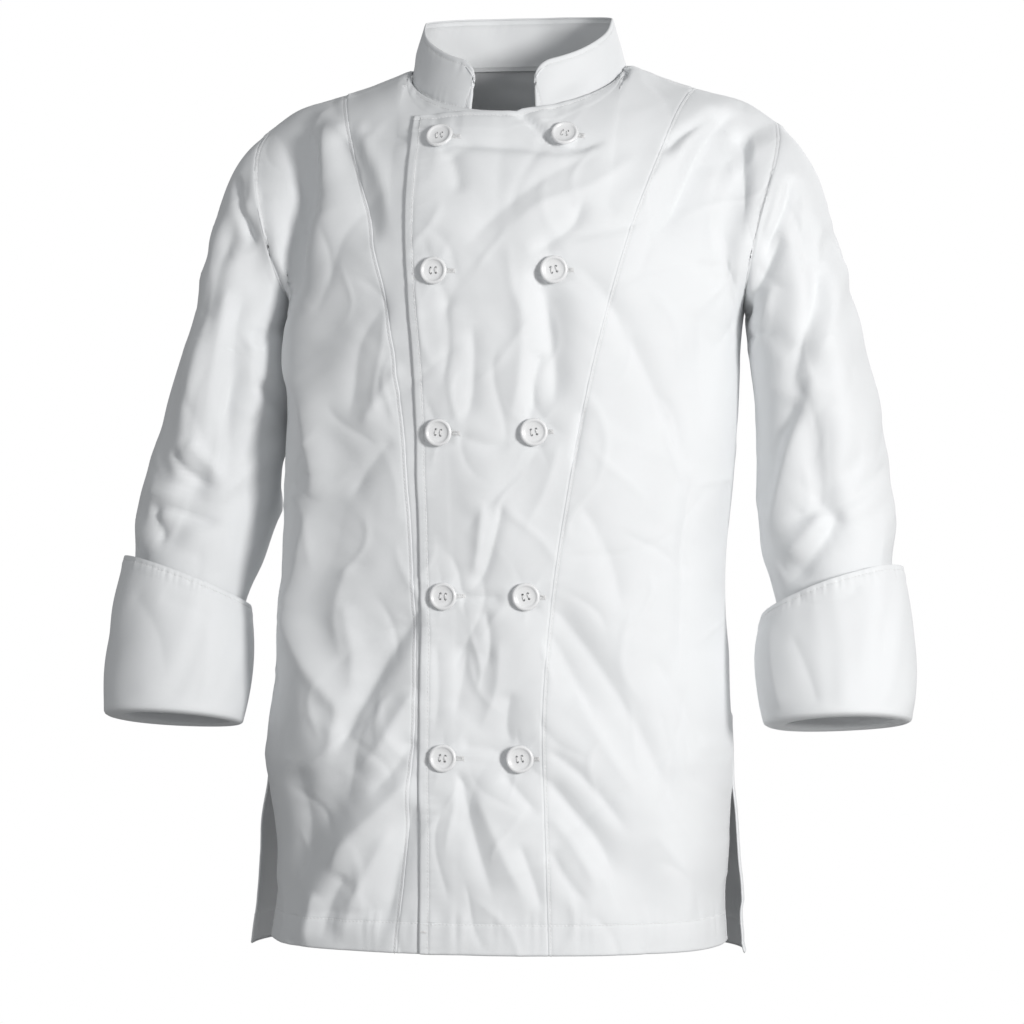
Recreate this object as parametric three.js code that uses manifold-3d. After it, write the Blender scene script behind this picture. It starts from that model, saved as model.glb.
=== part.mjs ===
// A white double-breasted chef jacket as it is worn, with long sleeves and turned-back cuffs.
// Millimetres, +Z up. The front faces -Y and +X is the jacket's own left. The origin is the middle
// of the neck hole, level with the points where the shoulder seams reach the collar.

import * as THREE from "three";
import Module from "manifold-3d";
import { mergeVertices } from "three/addons/utils/BufferGeometryUtils.js";

const wasm = await Module();
wasm.setup();

// Cloth and the gaps between pieces.
const WALL = 1.8;
const SEAM_GAP = 0.3;
const LAYER_GAP = 0.4;
const LAYER = WALL + LAYER_GAP;
const ARMHOLE_GAP = 0.9;
const HALF_GAP = SEAM_GAP / 2;

// Heights of the body.
const UNDERARM_Z = -204;
const SIDE_DIP = 60;
const FRONT_HEM_Z = -747;
const BACK_HEM_Z = -758;
const VENT_TOP_Z = -591;

// Shares of the quarter turn from the centre to the side: the neck ends and the armhole starts.
const NECK_TURN = 0.27;
const TIP_TURN = 0.6;
const LIFT_TURN = 0.8 * NECK_TURN;
const ROUNDNESS = 2.4;

// Folds fade out towards the side seams (shares of a turn) and the top edge (rises), and
// along their own length by this share. The centre line stands upright above CENTRE_Z.
const SIDE_FADE = 0.12;
const TOP_FADE = [1.75, 1.97];
const END_FADE = 0.45;
const CENTRE_Z = -40;

// Shares of the distance between a curve's ends that its handles reach.
const HANDLE = 0.36;
const SLEEVE_HANDLE = 0.6 * HANDLE;

// Neck hole and collar.
const NECK_HALF = 95;
const NECK_FRONT = 82;
const NECK_BACK = 66;
const NECK_SIDE_Z = 1.5;
const NECK_FRONT_DROP = 46;
const NECK_BACK_RISE = 10;
const COLLAR_HEIGHT = 43;
const COLLAR_LEAN = THREE.MathUtils.degToRad(14);
const COLLAR_ENDS = { left: 26, right: 32 };
const COLLAR_CORNER = 15;
const COLLAR_INSET = 2.4;
const COLLAR_SINK = 2.5;
const COLLAR_EASE = 1.25;
const COLLAR_COLUMNS = 32;
const COLLAR_ROWS = 5;

// Grid of the body: columns for each stretch of a half, rows below and above the underarm.
const NECK_COLUMNS = 5;
const SHOULDER_COLUMNS = 3;
const ARMHOLE_COLUMNS = 7;
const LOWER_ROWS = 14;
const UPPER_ROWS = 8;

const BUTTON_RADIUS = 11.6;
const BUTTON_SEGMENTS = 12;
const SLEEVE_ROWS = 12;
const CAP_ROWS = 6;

// Level sections of the body: half width, depth to the front and back, and how far it leans.
const BODY = [
  { z: -765, half: 215, front: 126, back: 124, middle: -22 },
  { z: -669, half: 209, front: 126, back: 118, middle: -19 },
  { z: -591, half: 202, front: 124, back: 112, middle: -17.5 },
  { z: -514, half: 195, front: 122, back: 106, middle: -15.5 },
  { z: -430, half: 190, front: 119, back: 103, middle: -13 },
  { z: -350, half: 193, front: 120, back: 104, middle: -9 },
  { z: -270, half: 194, front: 124, back: 108, middle: -5 },
  { z: -204, half: 193, front: 126, back: 110, middle: -2 },
];

// Below the side vents the fronts hang in from the back by this much on each side.
const VENT_GAPE = [
  { z: -765, right: 20, left: 15 },
  { z: -700, right: 20, left: 13 },
  { z: -640, right: 13, left: 7 },
  { z: VENT_TOP_Z, right: 0, left: 0 },
];

// The shoulder seam, from the neck to the tip.
const SHOULDER = [
  { x: 95, y: 0, z: NECK_SIDE_Z },
  { x: 131, y: 0, z: -12 },
  { x: 166, y: 1, z: -22 },
  { x: 196, y: 2, z: -31 },
  { x: 223, y: 3, z: -49 },
];

// The armhole, from the shoulder tip to the underarm, with the way the body's cloth
// runs into it (inX, inY, inZ; the y values are turned round at the back).
const ARMHOLE = [
  { t: 0, x: 223, front: -3, back: 3, z: -49, inX: 0.7, inY: 0.6, inZ: 0.1 },
  { t: 0.18, x: 226, front: 30, back: 30, z: -72, inX: 0.8, inY: 0.5, inZ: 0.25 },
  { t: 0.38, x: 220, front: 57, back: 56, z: -108, inX: 0.85, inY: 0.42, inZ: 0.4 },
  { t: 0.6, x: 210, front: 64, back: 62, z: -148, inX: 0.7, inY: 0.4, inZ: 0.6 },
  { t: 0.8, x: 200, front: 48, back: 48, z: -186, inX: 0.5, inY: 0.25, inZ: 0.8 },
  { t: 1, x: 192, front: 0, back: 0, z: -206, inX: 0, inY: 0, inZ: 1 },
];

// Seams and edges of the fronts, as distances from the leaning centre line.
const PRINCESS_SEAM = [
  { z: -765, off: 65 },
  { z: -630, off: 57 },
  { z: -547, off: 53.5 },
  { z: -465, off: 57 },
  { z: -390, off: 64 },
  { z: -304, off: 75 },
  { z: -222, off: 90 },
  { z: -137, off: 112 },
  { z: -84, off: 129 },
  { z: -42, off: 142 },
  { z: -15, off: 152 },
];
const FRONT_EDGE = [
  { z: -765, off: 43 },
  { z: -586, off: 48 },
  { z: -454, off: 51.5 },
  { z: -355, off: 59 },
  { z: -274, off: 65 },
  { z: -170, off: 76 },
  { z: -40, off: 79 },
];
const OVERLAP_TOP = [
  { x: -200, z: -66 },
  { x: -78, z: -51 },
  { x: -41, z: -49 },
  { x: 12, z: -48.5 },
  { x: 26, z: -36 },
];
const UNDERLAP_BACK = 6;
const UNDERLAP_TOP = [
  { x: -36, z: -28 },
  { x: -22, z: -38 },
  { x: 27, z: -50 },
  { x: 74, z: -60 },
  { x: 200, z: -78 },
];

// Rows of buttons: height, and the two columns' distances from the leaning centre line.
const BUTTON_ROWS = [
  { z: -67, right: -53, left: 52.5 },
  { z: -181, right: -51, left: 49 },
  { z: -315, right: -42, left: 37.5 },
  { z: -451, right: -32, left: 37 },
  { z: -585, right: -28, left: 36 },
];

// Largest folds of the body, seen from the front: a soft ridge, or a trough where the height
// is below zero, from one end to the other.
const FRONT_FOLDS = [
  { x0: -184, z0: -45, x1: -166, z1: -120, half: 16, height: -8 },
  { x0: -166, z0: -120, x1: -186, z1: -190, half: 15, height: -8 },
  { x0: -156, z0: -130, x1: -178, z1: -260, half: 18, height: 4 },
  { x0: -160, z0: -280, x1: -154, z1: -350, half: 20, height: 5 },
  { x0: -156, z0: -370, x1: -170, z1: -465, half: 20, height: 6 },
  { x0: -172, z0: -465, x1: -138, z1: -590, half: 20, height: 7 },
  { x0: -70, z0: -470, x1: -136, z1: -560, half: 22, height: -5 },
  { x0: -72, z0: -590, x1: -150, z1: -735, half: 24, height: 7 },
  { x0: -110, z0: -600, x1: -176, z1: -720, half: 22, height: -6 },
  { x0: 190, z0: -36, x1: 142, z1: -140, half: 17, height: -7 },
  { x0: 172, z0: -42, x1: 122, z1: -110, half: 16, height: 4 },
  { x0: 196, z0: -60, x1: 196, z1: -140, half: 12, height: -5 },
  { x0: 48, z0: -190, x1: 46, z1: -300, half: 20, height: -4 },
  { x0: -20, z0: -330, x1: 20, z1: -420, half: 26, height: 3 },
  { x0: -30, z0: -480, x1: 20, z1: -570, half: 22, height: -4 },
  { x0: 56, z0: -475, x1: 122, z1: -590, half: 22, height: -5 },
  { x0: 46, z0: -600, x1: 136, z1: -700, half: 24, height: -6 },
  { x0: 160, z0: -640, x1: 172, z1: -747, half: 22, height: 6 },
  { x0: 176, z0: -230, x1: 130, z1: -330, half: 22, height: -4 },
];
const BACK_FOLDS = [
  { x0: -186, z0: -150, x1: -120, z1: -330, half: 24, height: -6 },
  { x0: 186, z0: -140, x1: 112, z1: -300, half: 24, height: -6 },
  { x0: -90, z0: -380, x1: -60, z1: -700, half: 26, height: -6 },
  { x0: -20, z0: -440, x1: 6, z1: -765, half: 30, height: 5 },
  { x0: 70, z0: -400, x1: 96, z1: -740, half: 26, height: -6 },
  { x0: 150, z0: -420, x1: 156, z1: -765, half: 26, height: 6 },
  { x0: -160, z0: -430, x1: -166, z1: -765, half: 26, height: 6 },
  { x0: -50, z0: -60, x1: -110, z1: -130, half: 22, height: -3 },
  { x0: 60, z0: -56, x1: 120, z1: -120, half: 22, height: -3 },
];

// Sections square to each sleeve, from above the elbow to inside the cuff: the middle
// (of the left sleeve; out is away from the body), half width, half depth and slant.
const SLEEVE = [
  { z: -240, out: 249, y: 4, half: 46, deep: 69, slant: 19, tip: 0 },
  { z: -300, out: 261, y: 6, half: 51, deep: 66, slant: 18, tip: 0 },
  { z: -360, out: 272, y: 2, half: 56, deep: 62, slant: 18, tip: 4 },
  { z: -405, out: 280, y: -5, half: 57, deep: 58, slant: 17, tip: 8 },
  { z: -440, out: 284, y: -13, half: 50, deep: 50, slant: 16, tip: 10 },
  { z: -480, out: 286, y: -22, half: 46, deep: 46, slant: 8, tip: 11 },
  { z: -540, out: 287, y: -36, half: 45, deep: 45, slant: 3, tip: 11 },
];

// The two arms hang a little differently: each sleeve's middle moves out by this much.
const SLEEVE_SHIFT = [
  { z: -240, left: 0, right: -2 },
  { z: -300, left: -1, right: 0 },
  { z: -360, left: -9, right: 2 },
  { z: -405, left: -12, right: 3 },
  { z: -440, left: -12, right: 4 },
  { z: -540, left: -9, right: 7 },
];

// Folds of a sleeve: around (degrees from the outside over the front) and height.
const SLEEVE_FOLDS = [
  { a0: 70, z0: -120, a1: 60, z1: -220, half: 15, height: -6 },
  { a0: 50, z0: -120, a1: 50, z1: -260, half: 16, height: 3 },
  { a0: 110, z0: -250, a1: 84, z1: -400, half: 14, height: -5 },
  { a0: 60, z0: -230, a1: 74, z1: -360, half: 14, height: 4 },
  { a0: 50, z0: -340, a1: 110, z1: -380, half: 12, height: -5 },
  { a0: 30, z0: -380, a1: 80, z1: -400, half: 12, height: -4 },
  { a0: 200, z0: -330, a1: 270, z1: -370, half: 14, height: -5 },
  { a0: 290, z0: -140, a1: 300, z1: -300, half: 16, height: -5 },
  { a0: 250, z0: -240, a1: 280, z1: -420, half: 15, height: 5 },
];

// The middle of the arm inside the cap, at the armhole and at the first section.
const ARM_MIDDLE = [205, 250];
const CAP_MIDDLE = [215, 255];
const SLEEVE_FADE = [0.1, 0.5, 1.55, 1.75];

// Under the arm the sleeve leaves the armhole this way, from one share of the loop to another.
const UNDER_WAY = { out: 0.35, down: 0.94, from: 0.45, to: 0.85 };

// Turned-back cuffs: the outer wall's half width and depth, top and bottom.
const CUFF_SEGMENTS = 24;
const CUFF_FOLD_SLANT = 2;
const CUFF_TIP = [11, 12];
const CUFF_TOP_SLANT = 20;
const CUFF_BULGE = 5;
const CUFFS = {
  left: { topZ: -450, foldZ: -559, out: [270, 276], half: [63, 61], deep: [60, 58], y: [-16, -41] },
  right: { topZ: -442, foldZ: -561, out: [290, 297], half: [57, 59], deep: [60, 57], y: [-16, -41] },
};

const WHITE = { color: 0xeef0f1, roughness: 0.85, metalness: 0 };
const PLASTIC = { color: 0xf4f5f5, roughness: 0.3, metalness: 0 };

const HALF_PI = Math.PI / 2;
const mix = THREE.MathUtils.lerp;
const smooth = THREE.MathUtils.smoothstep;

// Smooth value of a table's column at a place along another column.
function along(rows, by, at, column) {
  const flip = rows[0][by] > rows[rows.length - 1][by] ? -1 : 1;
  const last = rows.length - 1;
  let i = 0;
  while (i < last - 1 && flip * at > flip * rows[i + 1][by]) i += 1;
  const before = rows[Math.max(i - 1, 0)];
  const from = rows[i];
  const to = rows[i + 1];
  const after = rows[Math.min(i + 2, last)];
  const span = to[by] - from[by];
  const t = THREE.MathUtils.clamp((at - from[by]) / span, 0, 1);
  const slope0 = ((to[column] - before[column]) / (to[by] - before[by])) * span;
  const slope1 = ((after[column] - from[column]) / (after[by] - from[by])) * span;
  const t2 = t * t;
  const t3 = t2 * t;
  return (
    from[column] * (2 * t3 - 3 * t2 + 1) +
    slope0 * (t3 - 2 * t2 + t) +
    to[column] * (3 * t2 - 2 * t3) +
    slope1 * (t3 - t2)
  );
}

// Height of a fold at a place: a bell across it that fades towards its two ends.
function foldHeight(fold, from, to, at) {
  const dx = to[0] - from[0];
  const dz = to[1] - from[1];
  const length2 = dx * dx + dz * dz;
  const run = ((at[0] - from[0]) * dx + (at[1] - from[1]) * dz) / length2;
  const t = THREE.MathUtils.clamp(run, 0, 1);
  const gap = Math.hypot(at[0] - from[0] - t * dx, at[1] - from[1] - t * dz) / fold.half;
  const fade = 1 - END_FADE * Math.pow(2 * t - 1, 4);
  return fold.height * fade * Math.exp(-gap * gap);
}

// A point on a level section of the body. The face is -1 at the front and 1 at the back.
function sectionPoint(z, turn, face) {
  const angle = Math.abs(turn) * HALF_PI;
  const power = 2 / ROUNDNESS;
  let half = along(BODY, "z", z, "half");
  if (face < 0 && z < VENT_TOP_Z) half -= along(VENT_GAPE, "z", z, turn < 0 ? "right" : "left");
  const depth = along(BODY, "z", z, face < 0 ? "front" : "back");
  const x = Math.sign(turn) * half * Math.pow(Math.sin(angle), power);
  const y = face * depth * Math.pow(Math.max(Math.cos(angle), 0), power);
  return new THREE.Vector3(along(BODY, "z", z, "middle") + x, y, z);
}

// The neckline at an angle from the middle of the face.
function neckPoint(angle, face) {
  const level = face < 0 ? -NECK_FRONT_DROP : NECK_BACK_RISE;
  return new THREE.Vector3(
    NECK_HALF * Math.sin(angle),
    face * (face < 0 ? NECK_FRONT : NECK_BACK) * Math.cos(angle),
    NECK_SIDE_Z + level * Math.cos(angle),
  );
}

// The top edge of a half: neckline, shoulder seam, then armhole; and the way cloth runs into it.
function topEdge(turn, face) {
  const side = turn < 0 ? -1 : 1;
  const share = Math.abs(turn);
  if (share <= NECK_TURN) {
    const q = share / NECK_TURN;
    const point = neckPoint(q * HALF_PI * side, face);
    const way = new THREE.Vector3(0, -face * mix(0.5, 0.95, q), mix(0.87, 0.3, q));
    return { point, way: way.normalize() };
  }
  if (share <= TIP_TURN) {
    const q = (share - NECK_TURN) / (TIP_TURN - NECK_TURN);
    const x = mix(SHOULDER[0].x, SHOULDER[SHOULDER.length - 1].x, q);
    const y = along(SHOULDER, "x", x, "y");
    const z = along(SHOULDER, "x", x, "z");
    const way = new THREE.Vector3(side * 0.5 * q * q, -face * 0.95, mix(0.3, 0.1, q));
    return { point: new THREE.Vector3(side * x, y, z), way: way.normalize() };
  }
  const t = (share - TIP_TURN) / (1 - TIP_TURN);
  const column = face < 0 ? "front" : "back";
  const point = new THREE.Vector3(
    side * along(ARMHOLE, "t", t, "x"),
    face * along(ARMHOLE, "t", t, column),
    along(ARMHOLE, "t", t, "z"),
  );
  const way = new THREE.Vector3(
    side * along(ARMHOLE, "t", t, "inX"),
    -face * along(ARMHOLE, "t", t, "inY"),
    along(ARMHOLE, "t", t, "inZ"),
  );
  return { point, way: way.normalize() };
}

// The plain body: rise 0 is the hem, 1 the line below the underarm, 2 the top edge.
function bodyPoint(turn, rise, face) {
  const waistLine = UNDERARM_Z - SIDE_DIP * Math.pow(Math.abs(turn), 3);
  if (rise <= 1) {
    const hem = face < 0 ? FRONT_HEM_Z : BACK_HEM_Z;
    return sectionPoint(mix(hem, waistLine, rise), turn, face);
  }
  const from = sectionPoint(waistLine, turn, face);
  const { point: to, way } = topEdge(turn, face);
  const reach = from.distanceTo(to) * HANDLE;
  const curve = new THREE.CubicBezierCurve3(
    from,
    from.clone().add(new THREE.Vector3(0, 0, reach)),
    to.clone().addScaledVector(way, -reach),
    to,
  );
  return curve.getPoint(rise - 1);
}

const NUDGE = 0.004;
const TINY = 1e-6;

// The outward direction of a surface given as a function of two numbers.
function normalOf(surface, u, v, inside) {
  const across = surface(u + NUDGE, v).sub(surface(u - NUDGE, v));
  const up = surface(u, v + NUDGE).sub(surface(u, v - NUDGE));
  const normal = across.cross(up).normalize();
  const out = surface(u, v).sub(inside);
  return normal.dot(out) < 0 ? normal.negate() : normal;
}

function bodyNormal(turn, rise, face) {
  const u = THREE.MathUtils.clamp(turn, -1 + NUDGE, 1 - NUDGE);
  const v = THREE.MathUtils.clamp(rise, NUDGE, 2 - NUDGE);
  const inside = new THREE.Vector3(0, 0, Math.min(bodyPoint(u, v, face).z, -150) - 20);
  const clear = Math.abs(u) < NUDGE ? NUDGE : u;
  return normalOf((a, b) => bodyPoint(a, b, face), clear, v, inside);
}

// The folded body: the plain body pushed out by its folds and by the layer it belongs to.
function clothPoint(turn, rise, face, upper) {
  const point = bodyPoint(turn, rise, face);
  const normal = bodyNormal(turn, rise, face);
  const folds = face < 0 ? FRONT_FOLDS : BACK_FOLDS;
  const middle = along(BODY, "z", Math.max(Math.min(point.z, UNDERARM_Z), BACK_HEM_Z), "middle");
  let lift = 0;
  for (const fold of folds) {
    lift += foldHeight(fold, [fold.x0, fold.z0], [fold.x1, fold.z1], [point.x - middle, point.z]);
  }
  lift *= smooth(1 - Math.abs(turn), 0, SIDE_FADE) * (1 - smooth(rise, ...TOP_FADE));
  if (upper) lift += LAYER * (1 - smooth(turn, LIFT_TURN, NECK_TURN));
  return { point: point.addScaledVector(normal, lift), normal };
}

// A point of the folded cloth with its outward direction.
function clothPlace(turn, rise, face, upper) {
  const surface = (a, b) => clothPoint(a, b, face, upper).point;
  const u = THREE.MathUtils.clamp(turn, -1 + 2 * NUDGE, 1 - 2 * NUDGE);
  const v = THREE.MathUtils.clamp(rise, 2 * NUDGE, 2 - 2 * NUDGE);
  const inside = new THREE.Vector3(0, 0, Math.min(bodyPoint(u, v, face).z, -150) - 20);
  const { point } = clothPoint(turn, rise, face, upper);
  const normal = normalOf(surface, u, v, inside);
  return { point, normal };
}

// Closed wall on a grid of places, each a point and its outward direction.
function wallGeometry(columns, rows, place, closed, thickness = WALL) {
  const positions = [];
  const outer = [];
  const inner = [];
  for (let i = 0; i < columns; i += 1) {
    for (let j = 0; j < rows; j += 1) {
      const { point, normal } = place(i, j);
      outer.push(positions.length / 3);
      positions.push(...point.clone().addScaledVector(normal, thickness / 2).toArray());
      inner.push(positions.length / 3);
      positions.push(...point.clone().addScaledVector(normal, -thickness / 2).toArray());
    }
  }
  const at = (list, i, j) => list[(i % columns) * rows + j];
  const index = [];
  const quad = (a, b, c, d) => index.push(a, b, c, a, c, d);
  const spans = closed ? columns : columns - 1;
  for (let i = 0; i < spans; i += 1) {
    for (let j = 0; j < rows - 1; j += 1) {
      quad(at(outer, i, j), at(outer, i + 1, j), at(outer, i + 1, j + 1), at(outer, i, j + 1));
      quad(at(inner, i, j), at(inner, i, j + 1), at(inner, i + 1, j + 1), at(inner, i + 1, j));
    }
    quad(at(outer, i, 0), at(inner, i, 0), at(inner, i + 1, 0), at(outer, i + 1, 0));
    const top = rows - 1;
    quad(at(outer, i, top), at(outer, i + 1, top), at(inner, i + 1, top), at(inner, i, top));
  }
  if (!closed) {
    for (const i of [0, columns - 1]) {
      for (let j = 0; j < rows - 1; j += 1) {
        const ring = [at(outer, i, j), at(outer, i, j + 1), at(inner, i, j + 1), at(inner, i, j)];
        if (i === 0) quad(...ring);
        else quad(...ring.reverse());
      }
    }
  }
  const geometry = new THREE.BufferGeometry();
  geometry.setAttribute("position", new THREE.Float32BufferAttribute(positions, 3));
  geometry.setIndex(index);
  return facingOut(geometry);
}

// Turns a closed geometry's faces outwards if it is inside out.
function facingOut(geometry) {
  const p = geometry.attributes.position;
  const index = geometry.index.array;
  const [a, b, c] = [new THREE.Vector3(), new THREE.Vector3(), new THREE.Vector3()];
  let volume = 0;
  for (let i = 0; i < index.length; i += 3) {
    a.fromBufferAttribute(p, index[i]);
    b.fromBufferAttribute(p, index[i + 1]);
    c.fromBufferAttribute(p, index[i + 2]);
    volume += a.dot(b.cross(c));
  }
  if (volume < 0) {
    for (let i = 0; i < index.length; i += 3) {
      [index[i], index[i + 1]] = [index[i + 1], index[i]];
    }
  }
  return geometry;
}

function toSolid(geometry) {
  const plain = geometry.clone();
  plain.deleteAttribute("normal");
  plain.deleteAttribute("uv");
  const merged = mergeVertices(plain, 1e-4);
  return new wasm.Manifold(new wasm.Mesh({
    numProp: 3,
    vertProperties: new Float32Array(merged.attributes.position.array),
    triVerts: new Uint32Array(merged.index.array),
  }));
}

function toGeometry(solid) {
  const mesh = solid.getMesh();
  const geometry = new THREE.BufferGeometry();
  geometry.setAttribute("position", new THREE.BufferAttribute(mesh.vertProperties, 3));
  geometry.setIndex(new THREE.BufferAttribute(mesh.triVerts, 1));
  return geometry;
}

// A cutting block: an outline seen from the front, run through the front of the body.
const CUT_DEPTH = 320;
const CUT_BACK = 20;
function cutBlock(outline) {
  const shape = new THREE.Shape(outline.map(([x, z]) => new THREE.Vector2(x, z)));
  const geometry = new THREE.ExtrudeGeometry(shape, { depth: CUT_DEPTH, bevelEnabled: false });
  geometry.rotateX(HALF_PI);
  geometry.translate(0, CUT_BACK, 0);
  return toSolid(geometry);
}

const CUT_LOW = -820;
const CUT_HIGH = 80;
const CUT_WIDE = 400;
const CUT_STEP = 28;

// A top edge that ends farther out than this runs on to the side; a nearer end runs up.
const CUT_INNER = 100;

// A line down the front, from the top to the hem, at a distance from the leaning centre.
function frontLine(rows, sign, shift) {
  const points = [];
  for (let z = CUT_HIGH; z >= CUT_LOW; z -= CUT_STEP) {
    const level = THREE.MathUtils.clamp(z, rows[0].z, rows[rows.length - 1].z);
    const middle = along(BODY, "z", THREE.MathUtils.clamp(z, BACK_HEM_Z, UNDERARM_Z), "middle");
    const fade = 1 - smooth(z, UNDERARM_Z, CENTRE_Z);
    points.push([middle * fade + sign * along(rows, "z", level, "off") + shift, z]);
  }
  return points;
}

function regionBeside(line, sign) {
  const last = line[line.length - 1];
  return cutBlock([...line, [sign * CUT_WIDE, last[1]], [sign * CUT_WIDE, line[0][1]]]);
}

function regionUnder(rows) {
  const line = rows.map(({ x, z }) => [x, z]);
  const first = line[0];
  const last = line[line.length - 1];
  return cutBlock([
    [-CUT_WIDE, CUT_LOW],
    [CUT_WIDE, CUT_LOW],
    [CUT_WIDE, last[0] > CUT_INNER ? last[1] : CUT_HIGH],
    ...(last[0] > CUT_INNER ? [] : [[last[0], CUT_HIGH]]),
    ...line.reverse(),
    ...(first[0] < -CUT_INNER ? [] : [[first[0], CUT_HIGH]]),
    [-CUT_WIDE, first[0] < -CUT_INNER ? first[1] : CUT_HIGH],
  ]);
}

function named(name, geometry, look) {
  const mesh = new THREE.Mesh(geometry, new THREE.MeshStandardMaterial(look));
  mesh.name = name;
  return mesh;
}

// Turns of the grid's columns over a half, from the centre out to the side.
const HALF_TURNS = [];
for (let i = 0; i <= NECK_COLUMNS; i += 1) HALF_TURNS.push((NECK_TURN * i) / NECK_COLUMNS);
for (let i = 1; i <= SHOULDER_COLUMNS; i += 1) {
  HALF_TURNS.push(mix(NECK_TURN, TIP_TURN, i / SHOULDER_COLUMNS));
}
for (let i = 1; i <= ARMHOLE_COLUMNS; i += 1) {
  HALF_TURNS.push(mix(TIP_TURN, 1, i / ARMHOLE_COLUMNS));
}
const TURNS = [...HALF_TURNS.slice(1).map((turn) => -turn).reverse(), ...HALF_TURNS];
const RISES = [];
for (let j = 0; j <= LOWER_ROWS; j += 1) RISES.push(j / LOWER_ROWS);
for (let j = 1; j <= UPPER_ROWS; j += 1) RISES.push(1 + j / UPPER_ROWS);

const EDGE_STEP = 0.01;

// Shared directions at a seam of the body, so that the two sides' walls end on one plane.
function seamFrame(turn, face) {
  const front = clothPlace(turn, 2, -1, false);
  const back = clothPlace(turn, 2, 1, false);
  const own = face < 0 ? front : back;
  const share = Math.abs(turn);
  if (share < NECK_TURN - TINY) return { normal: own.normal, away: null };
  if (share < TIP_TURN - TINY) {
    const normal = front.normal.clone().add(back.normal).normalize();
    return { normal, away: new THREE.Vector3(0, face, 0) };
  }
  const side = Math.sign(turn);
  if (share > 1 - TINY) {
    return { normal: new THREE.Vector3(side, 0, 0), away: new THREE.Vector3(0, 0, -1) };
  }
  const atTip = share <= TIP_TURN + TINY;
  const normal = own.normal.clone();
  if (atTip) normal.copy(front.normal).add(back.normal).normalize();
  const next = topEdge(side * (share + EDGE_STEP), face).point;
  const before = atTip
    ? topEdge(side * (share + EDGE_STEP), -face).point
    : topEdge(side * (share - EDGE_STEP), face).point;
  const away = next.sub(before).cross(normal).normalize();
  if (away.x * side > 0) away.negate();
  return { normal, away };
}

// One layer of the body on the shared grid, from one column to another.
function bodyLayer(face, upper, turns) {
  return wallGeometry(turns.length, RISES.length, (i, j) => {
    const turn = turns[i];
    const rise = RISES[j];
    const { point, normal } = clothPlace(turn, rise, face, upper);
    if (Math.abs(turn) > 1 - TINY) {
      normal.set(Math.sign(turn), 0, 0);
      point.y += face * HALF_GAP;
    }
    if (j === RISES.length - 1) {
      const frame = seamFrame(turn, face);
      normal.copy(frame.normal);
      const reach = Math.abs(turn) < TIP_TURN - TINY ? HALF_GAP : ARMHOLE_GAP / 2;
      if (frame.away) point.addScaledVector(frame.away, reach);
      if (Math.abs(Math.abs(turn) - TIP_TURN) < TINY) point.y += face * HALF_GAP;
    }
    return { point, normal };
  }, false);
}

// Each layer of the fronts reaches this far past the centre.
const EDGE_TURN = 0.24;
const lowerTurns = TURNS.filter((turn) => turn < EDGE_TURN);
const upperTurns = TURNS.filter((turn) => turn > -EDGE_TURN);
const lowerLayer = toSolid(bodyLayer(-1, false, lowerTurns));
const upperLayer = toSolid(bodyLayer(-1, true, upperTurns));

// The fronts: each layer is cut along its princess seam and its free edges.
const overlapSolid = upperLayer
  .intersect(regionBeside(frontLine(PRINCESS_SEAM, 1, -HALF_GAP), -1))
  .intersect(regionBeside(frontLine(FRONT_EDGE, -1, 0), 1))
  .intersect(regionUnder(OVERLAP_TOP));
const leftSideSolid = upperLayer
  .intersect(regionBeside(frontLine(PRINCESS_SEAM, 1, HALF_GAP), 1));
const underlapSolid = lowerLayer
  .intersect(regionBeside(frontLine(PRINCESS_SEAM, -1, HALF_GAP), 1))
  .intersect(regionBeside(frontLine(FRONT_EDGE, 1, -UNDERLAP_BACK), -1))
  .intersect(regionUnder(UNDERLAP_TOP));
const rightSideSolid = lowerLayer
  .intersect(regionBeside(frontLine(PRINCESS_SEAM, -1, -HALF_GAP), -1));

const overlap = named("overlap_front", toGeometry(overlapSolid), WHITE);
const leftSideFront = named("side_front_left", toGeometry(leftSideSolid), WHITE);
const underlap = named("underlap_front", toGeometry(underlapSolid), WHITE);
const rightSideFront = named("side_front_right", toGeometry(rightSideSolid), WHITE);
const back = named("back", bodyLayer(1, false, TURNS), WHITE);

// The armhole's loop of one side: tip, front, underarm, back; with the wall's end direction
// and the way out of the body.
function armholeLoop(side) {
  const loop = [];
  const outerTurns = HALF_TURNS.filter((turn) => turn >= TIP_TURN - TINY);
  const under = new THREE.Vector3(side * UNDER_WAY.out, 0, -UNDER_WAY.down);
  const add = (turn, face) => {
    const { normal, away } = seamFrame(side * turn, face);
    const { point } = topEdge(side * turn, face);
    const low = smooth((turn - TIP_TURN) / (1 - TIP_TURN), UNDER_WAY.from, UNDER_WAY.to);
    point.x += side * low * (WALL + SEAM_GAP);
    loop.push({ point, normal, low, out: away.clone().negate().lerp(under, low).normalize() });
  };
  for (const turn of outerTurns) add(turn, -1);
  for (const turn of outerTurns.slice(1, -1).reverse()) add(turn, 1);
  return loop;
}

// A point of the sleeve's oval section: the angle runs from the outside over the front.
function sleeveRing(row, angle, side) {
  const slant = THREE.MathUtils.degToRad(row.slant);
  const tip = THREE.MathUtils.degToRad(row.tip);
  const outward = new THREE.Vector3(side * Math.cos(slant), 0, Math.sin(slant));
  const forward = new THREE.Vector3(0, -Math.cos(tip), Math.sin(tip));
  return new THREE.Vector3(side * row.out, row.y, row.z)
    .addScaledVector(outward, row.half * Math.cos(angle))
    .addScaledVector(forward, row.deep * Math.sin(angle));
}

function sleeveRow(z, side) {
  const row = { z };
  for (const column of ["out", "y", "half", "deep", "slant", "tip"]) {
    row[column] = along(SLEEVE, "z", z, column);
  }
  row.out += along(SLEEVE_SHIFT, "z", z, side > 0 ? "left" : "right");
  return row;
}

const SLEEVE_STEP = 12;

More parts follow.
